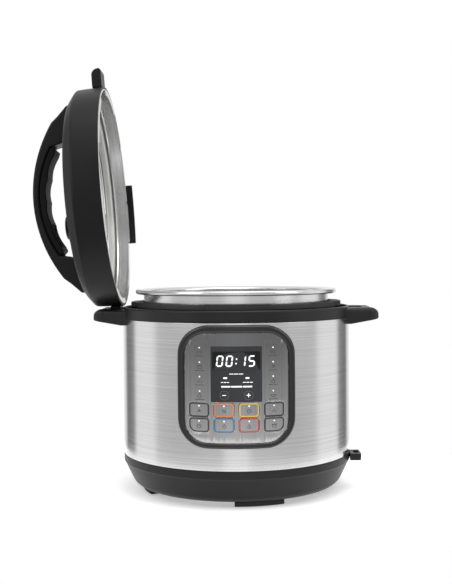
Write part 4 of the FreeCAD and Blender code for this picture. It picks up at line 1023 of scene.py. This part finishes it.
def makeSteamRelease():
    spot = steamPlace(-29, 60) @ Matrix.Rotation(math.radians(35), 4, "Z")
    low, high = 49.6 * mm, 73.1 * mm
    profile = [(6.2 * mm, low), (13.2 * mm, low, 0.0008), (13.2 * mm, low + 9 * mm, 0.001),
               (15 * mm, low + 10 * mm, 0.001),
               (15 * mm, high - 1 * mm, 0.0025), (12 * mm, high, 0.002), (0, high)]
    lathe("steamHub", profile, blackBody, "steam_release", ["steam_release"], around=96, closed=False,
          matrix=spot)
    lever = roundedOutline(12.6 * mm, 27 * mm, 6 * mm)
    verts = []
    lever = [(x, y + 17.2 * mm) for x, y in lever]
    n = len(lever)
    for f, z in ((1, high - 6.8 * mm), (1, high - 1.4 * mm), (0.93, high - 0.4 * mm), (0.82, high)):
        verts += [(x * f, 17.2 * mm + (y - 17.2 * mm) * (1 - (1 - f) * 0.5), z) for x, y in lever]
    faces = rowQuads(4, n) + [tuple(range(n)), tuple(3 * n + i for i in range(n))]
    madePiece("steamLever", verts, faces, blackBody, "steam_release", matrix=spot)


def makeShield():
    spot = steamPlace(-29, 60)
    r, low, high = 14.5 * mm, 22.3 * mm, 34.2 * mm
    lathe("antiBlockShield", [
        (0, low), (r, low, 0.002), (r, high, 0.0004), (8.2 * mm, high, 0.0003), (8.2 * mm, high - 0.8 * mm),
        (r - 0.8 * mm, high - 0.8 * mm), (r - 0.8 * mm, low + 0.8 * mm, 0.0015), (0, low + 0.8 * mm),
    ], steelSmall, "shield", ["anti_block_shield"], around=96, closed=False, matrix=spot)


def makeSocket():
    low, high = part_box("accessory_socket")
    x0, x1, y0, y1, z0, z1 = low[0] + 2.2 * mm, high[0], low[1], high[1], low[2], high[2]
    outer = [(x0, y0), (x1 - 1 * mm, y0), (x1, y0 + 1 * mm), (x1, y1 - 1 * mm), (x1 - 1 * mm, y1),
             (x0 + 2.2 * mm, y1)]
    sx = high[0] - 5.2 * mm
    sy = (y0 + y1) / 2
    hole = [(sx - 3 * mm, sy - 7.5 * mm), (sx + 3 * mm, sy - 7.5 * mm), (sx + 3 * mm, sy - 6.5 * mm),
            (sx + 3 * mm, sy + 6.5 * mm), (sx + 3 * mm, sy + 7.5 * mm), (sx - 3 * mm, sy + 7.5 * mm)]
    verts = []
    rows = [[(x, y, z1) for x, y in hole], [(x, y, z1) for x, y in outer],
            [(x - (0.4 * mm if x > sx else 0), y, z0) for x, y in outer], [(x, y, z0) for x, y in hole]]
    for r in rows:
        verts += r
    madePiece("accessorySocket", verts, rowQuads(4, 6, closed=True), blackBody, "cooker",
              ["accessory_socket"], smooth=False, bevel=0.0004)


def makeCollector():
    low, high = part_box("condensation_collector")
    wall = 1.6 * mm
    half = 24 * mm
    y0, y1, z0, z1 = low[1], high[1], low[2], high[2]
    my, depth = (y0 + y1) / 2, y1 - y0
    outer = roundedOutline(2 * half, depth, 2.4 * mm, steps=4)
    verts = []
    n = len(outer)

    def level(f, g, z):
        return [(x * f, my + y * g, z) for x, y in outer]
    thin, thinDepth = 1 - wall / half, 1 - 2 * wall / depth
    rows = [level(0.9, 0.86, z0), level(0.97, 0.96, z0 + 0.6 * mm), level(1, 1, z0 + 2.4 * mm),
            level(1, 1, z1 - 0.5 * mm),
            level(0.995, 0.99, z1), level(thin * 1.01, thinDepth * 1.01, z1),
            level(thin, thinDepth, z1 - 0.8 * mm), level(thin, thinDepth, z0 + 3.4 * mm),
            level(thin * 0.95, thinDepth * 0.9, z0 + wall)]
    for r in rows:
        verts += r
    faces = rowQuads(len(rows), n) + [tuple(range(n)), tuple((len(rows) - 1) * n + i for i in range(n))]
    madePiece("condensationCup", verts, faces, clearGrey, "collector", ["condensation_collector"])
    for k, side in enumerate((-1, 1)):
        near, far = side * half * 0.98, side * (half + 2 * mm)
        wing = [(near, z1 - 6 * mm), (far, z1 - 6 * mm), (far, z1 - 4 * mm), (near, z1 - 4 * mm)]
        slab(f"cupWing{k}", wing, depth - 1 * mm, clearGrey, "collector",
             matrix=Matrix.Translation((0, my, 0)), bevel=0.0004)


makeSteamRelease()
makeShield()
makeSocket()
makeCollector()

# CAD pieces that keep their own shape, with their finishes
finishes = {
    "bottom_cover": steelSmall, "cover_screws": steelSmall, "outer_pot": darkCoat,
    "heating_plate": castPlate, "heating_element": castPlate, "plate_feet": steelSmall,
    "sensor_button": steelSmall, "sensor_holder": steelSmall, "sensor_spring": steelSmall,
    "pressure_switch": whitePart, "thermal_fuse": whitePart, "board_posts": whitePart,
    "power_board": boardTan, "mains_inlet": blackBody, "panel_board": boardGreen,
    "display_module": whitePart, "key_switches": blackBody, "collector_rails": blackBody,
    "handle_screws": steelSmall, "skirt_rivets": steelSmall, "lid_posts": steelSmall,
    "steam_pipe": steelSmall, "float_valve": steelSmall, "float_seal": silicone, "locking_pin": blackBody,
    "lock_bracket": steelSmall, "lock_spring": steelSmall,
}
for name, mat in finishes.items():
    obj = frame["nodes"][name]
    for s in obj.material_slots:
        s.material = mat
print("small pieces made")


# camera, floor and light

camera = {"distance": 1.180, "height": 0.269, "around": 0.0, "pitch": 1.71, "yaw": 0.57, "roll": -0.44,
          "lens": 60.1}


def makeCamera():
    data = bpy.data.cameras.new("camera")
    data.lens = camera["lens"]
    data.sensor_width = 36
    data.clip_end = 50
    obj = bpy.data.objects.new("camera", data)
    bpy.context.collection.objects.link(obj)
    turn = math.radians(camera["around"])
    place = Vector((math.sin(turn) * camera["distance"], -math.cos(turn) * camera["distance"],
                    camera["height"]))
    look = (Matrix.Rotation(math.radians(camera["around"] + camera["yaw"]), 4, "Z")
            @ Matrix.Rotation(math.radians(90 - camera["pitch"]), 4, "X")
            @ Matrix.Rotation(math.radians(camera["roll"]), 4, "Z"))
    obj.matrix_world = Matrix.Translation(place) @ look
    bpy.context.scene.camera = obj


def makeFloor():
    mesh = bpy.data.meshes.new("floor")
    # a round table top, small enough for the shell to mirror the studio past its edge
    reach, count = 0.34, 96
    turns = [math.tau * k / count for k in range(count)]
    edge = [(reach * math.cos(a), reach * math.sin(a), 0) for a in turns]
    mesh.from_pydata(edge, [], [tuple(range(count))])
    obj = bpy.data.objects.new("floor", mesh)
    bpy.context.collection.objects.link(obj)
    obj.location.z = -0.0005
    mat, nodes, links, shader = newMaterial("floorPale")
    coords = nodes.new("ShaderNodeTexCoord")
    soft = addNode(nodes, "ShaderNodeTexNoise", Scale=3.0, Detail=2.0)
    links.new(coords.outputs["Object"], soft.inputs["Vector"])
    links.new(rampBetween(nodes, links, soft.outputs["Fac"], grey(0.9), grey(0.93)),
              shader.inputs["Base Color"])
    shader.inputs["Roughness"].default_value = 0.8
    shader.inputs["Emission Color"].default_value = (1, 1, 1, 1)
    shader.inputs["Emission Strength"].default_value = 0.34
    mesh.materials.append(mat)


# brightness round the studio, by compass angle from straight behind the camera (0) to behind the object (180)
studio = [(0, 0.92), (9, 0.92), (16, 0.64), (60, 0.6), (82, 0.66), (92, 1.0), (118, 1.0), (127, 0.3),
          (143, 0.2), (152, 0.85),
          (162, 1.0), (180, 1.0)]


def makeWorld():
    world = bpy.data.worlds.new("studio")
    bpy.context.scene.world = world
    world.use_nodes = True
    nodes, links = world.node_tree.nodes, world.node_tree.links
    back = nodes["Background"]
    coords = nodes.new("ShaderNodeTexCoord")
    split = nodes.new("ShaderNodeSeparateXYZ")
    links.new(coords.outputs["Generated"], split.inputs[0])
    side = addNode(nodes, "ShaderNodeMath", operation="ABSOLUTE")
    links.new(split.outputs["X"], side.inputs[0])
    turned = addNode(nodes, "ShaderNodeMath", operation="MULTIPLY")
    turned.inputs[1].default_value = -1
    links.new(split.outputs["Y"], turned.inputs[0])
    angle = addNode(nodes, "ShaderNodeMath", operation="ARCTAN2")
    links.new(side.outputs[0], angle.inputs[0])
    links.new(turned.outputs[0], angle.inputs[1])
    share = addNode(nodes, "ShaderNodeMath", operation="DIVIDE")
    share.inputs[1].default_value = math.pi
    links.new(angle.outputs[0], share.inputs[0])
    ramp = nodes.new("ShaderNodeValToRGB")
    stops = ramp.color_ramp
    stops.interpolation = "EASE"
    while len(stops.elements) < len(studio):
        stops.elements.new(0.5)
    for element, (turn, light) in zip(stops.elements, studio):
        element.position = turn / 180
        element.color = grey(light)
    links.new(share.outputs[0], ramp.inputs["Fac"])
    # overhead the studio is evenly bright
    up = addNode(nodes, "ShaderNodeMapRange")
    up.inputs["From Min"].default_value = 0.35
    up.inputs["From Max"].default_value = 0.8
    links.new(split.outputs["Z"], up.inputs["Value"])
    mix = addNode(nodes, "ShaderNodeMix", data_type="RGBA")
    links.new(up.outputs["Result"], mix.inputs["Factor"])
    links.new(ramp.outputs["Color"], mix.inputs["A"])
    mix.inputs["B"].default_value = grey(0.95)
    links.new(mix.outputs["Result"], back.inputs["Color"])
    back.inputs["Strength"].default_value = 1.0


def makeLight(name, place, target, size, power):
    data = bpy.data.lights.new(name, "AREA")
    data.shape = "RECTANGLE"
    data.size, data.size_y = size
    data.energy = power
    obj = bpy.data.objects.new(name, data)
    bpy.context.collection.objects.link(obj)
    obj.location = place
    obj.rotation_euler = (Vector(target) - Vector(place)).to_track_quat("-Z", "Y").to_euler()


makeCamera()
makeFloor()
makeWorld()
makeLight("topSoft", (0.2, -0.4, 1.9), (0, 0, 0.2), (1.4, 1.2), 14)
makeLight("leftSoft", (-1.6, -1.2, 1.0), (0, 0, 0.25), (0.9, 1.4), 10)
makeLight("rightSoft", (1.7, -1.0, 0.9), (0, 0, 0.2), (0.8, 1.4), 8)
bpy.context.scene.view_settings.view_transform = "Standard"
print("camera, floor and light made")
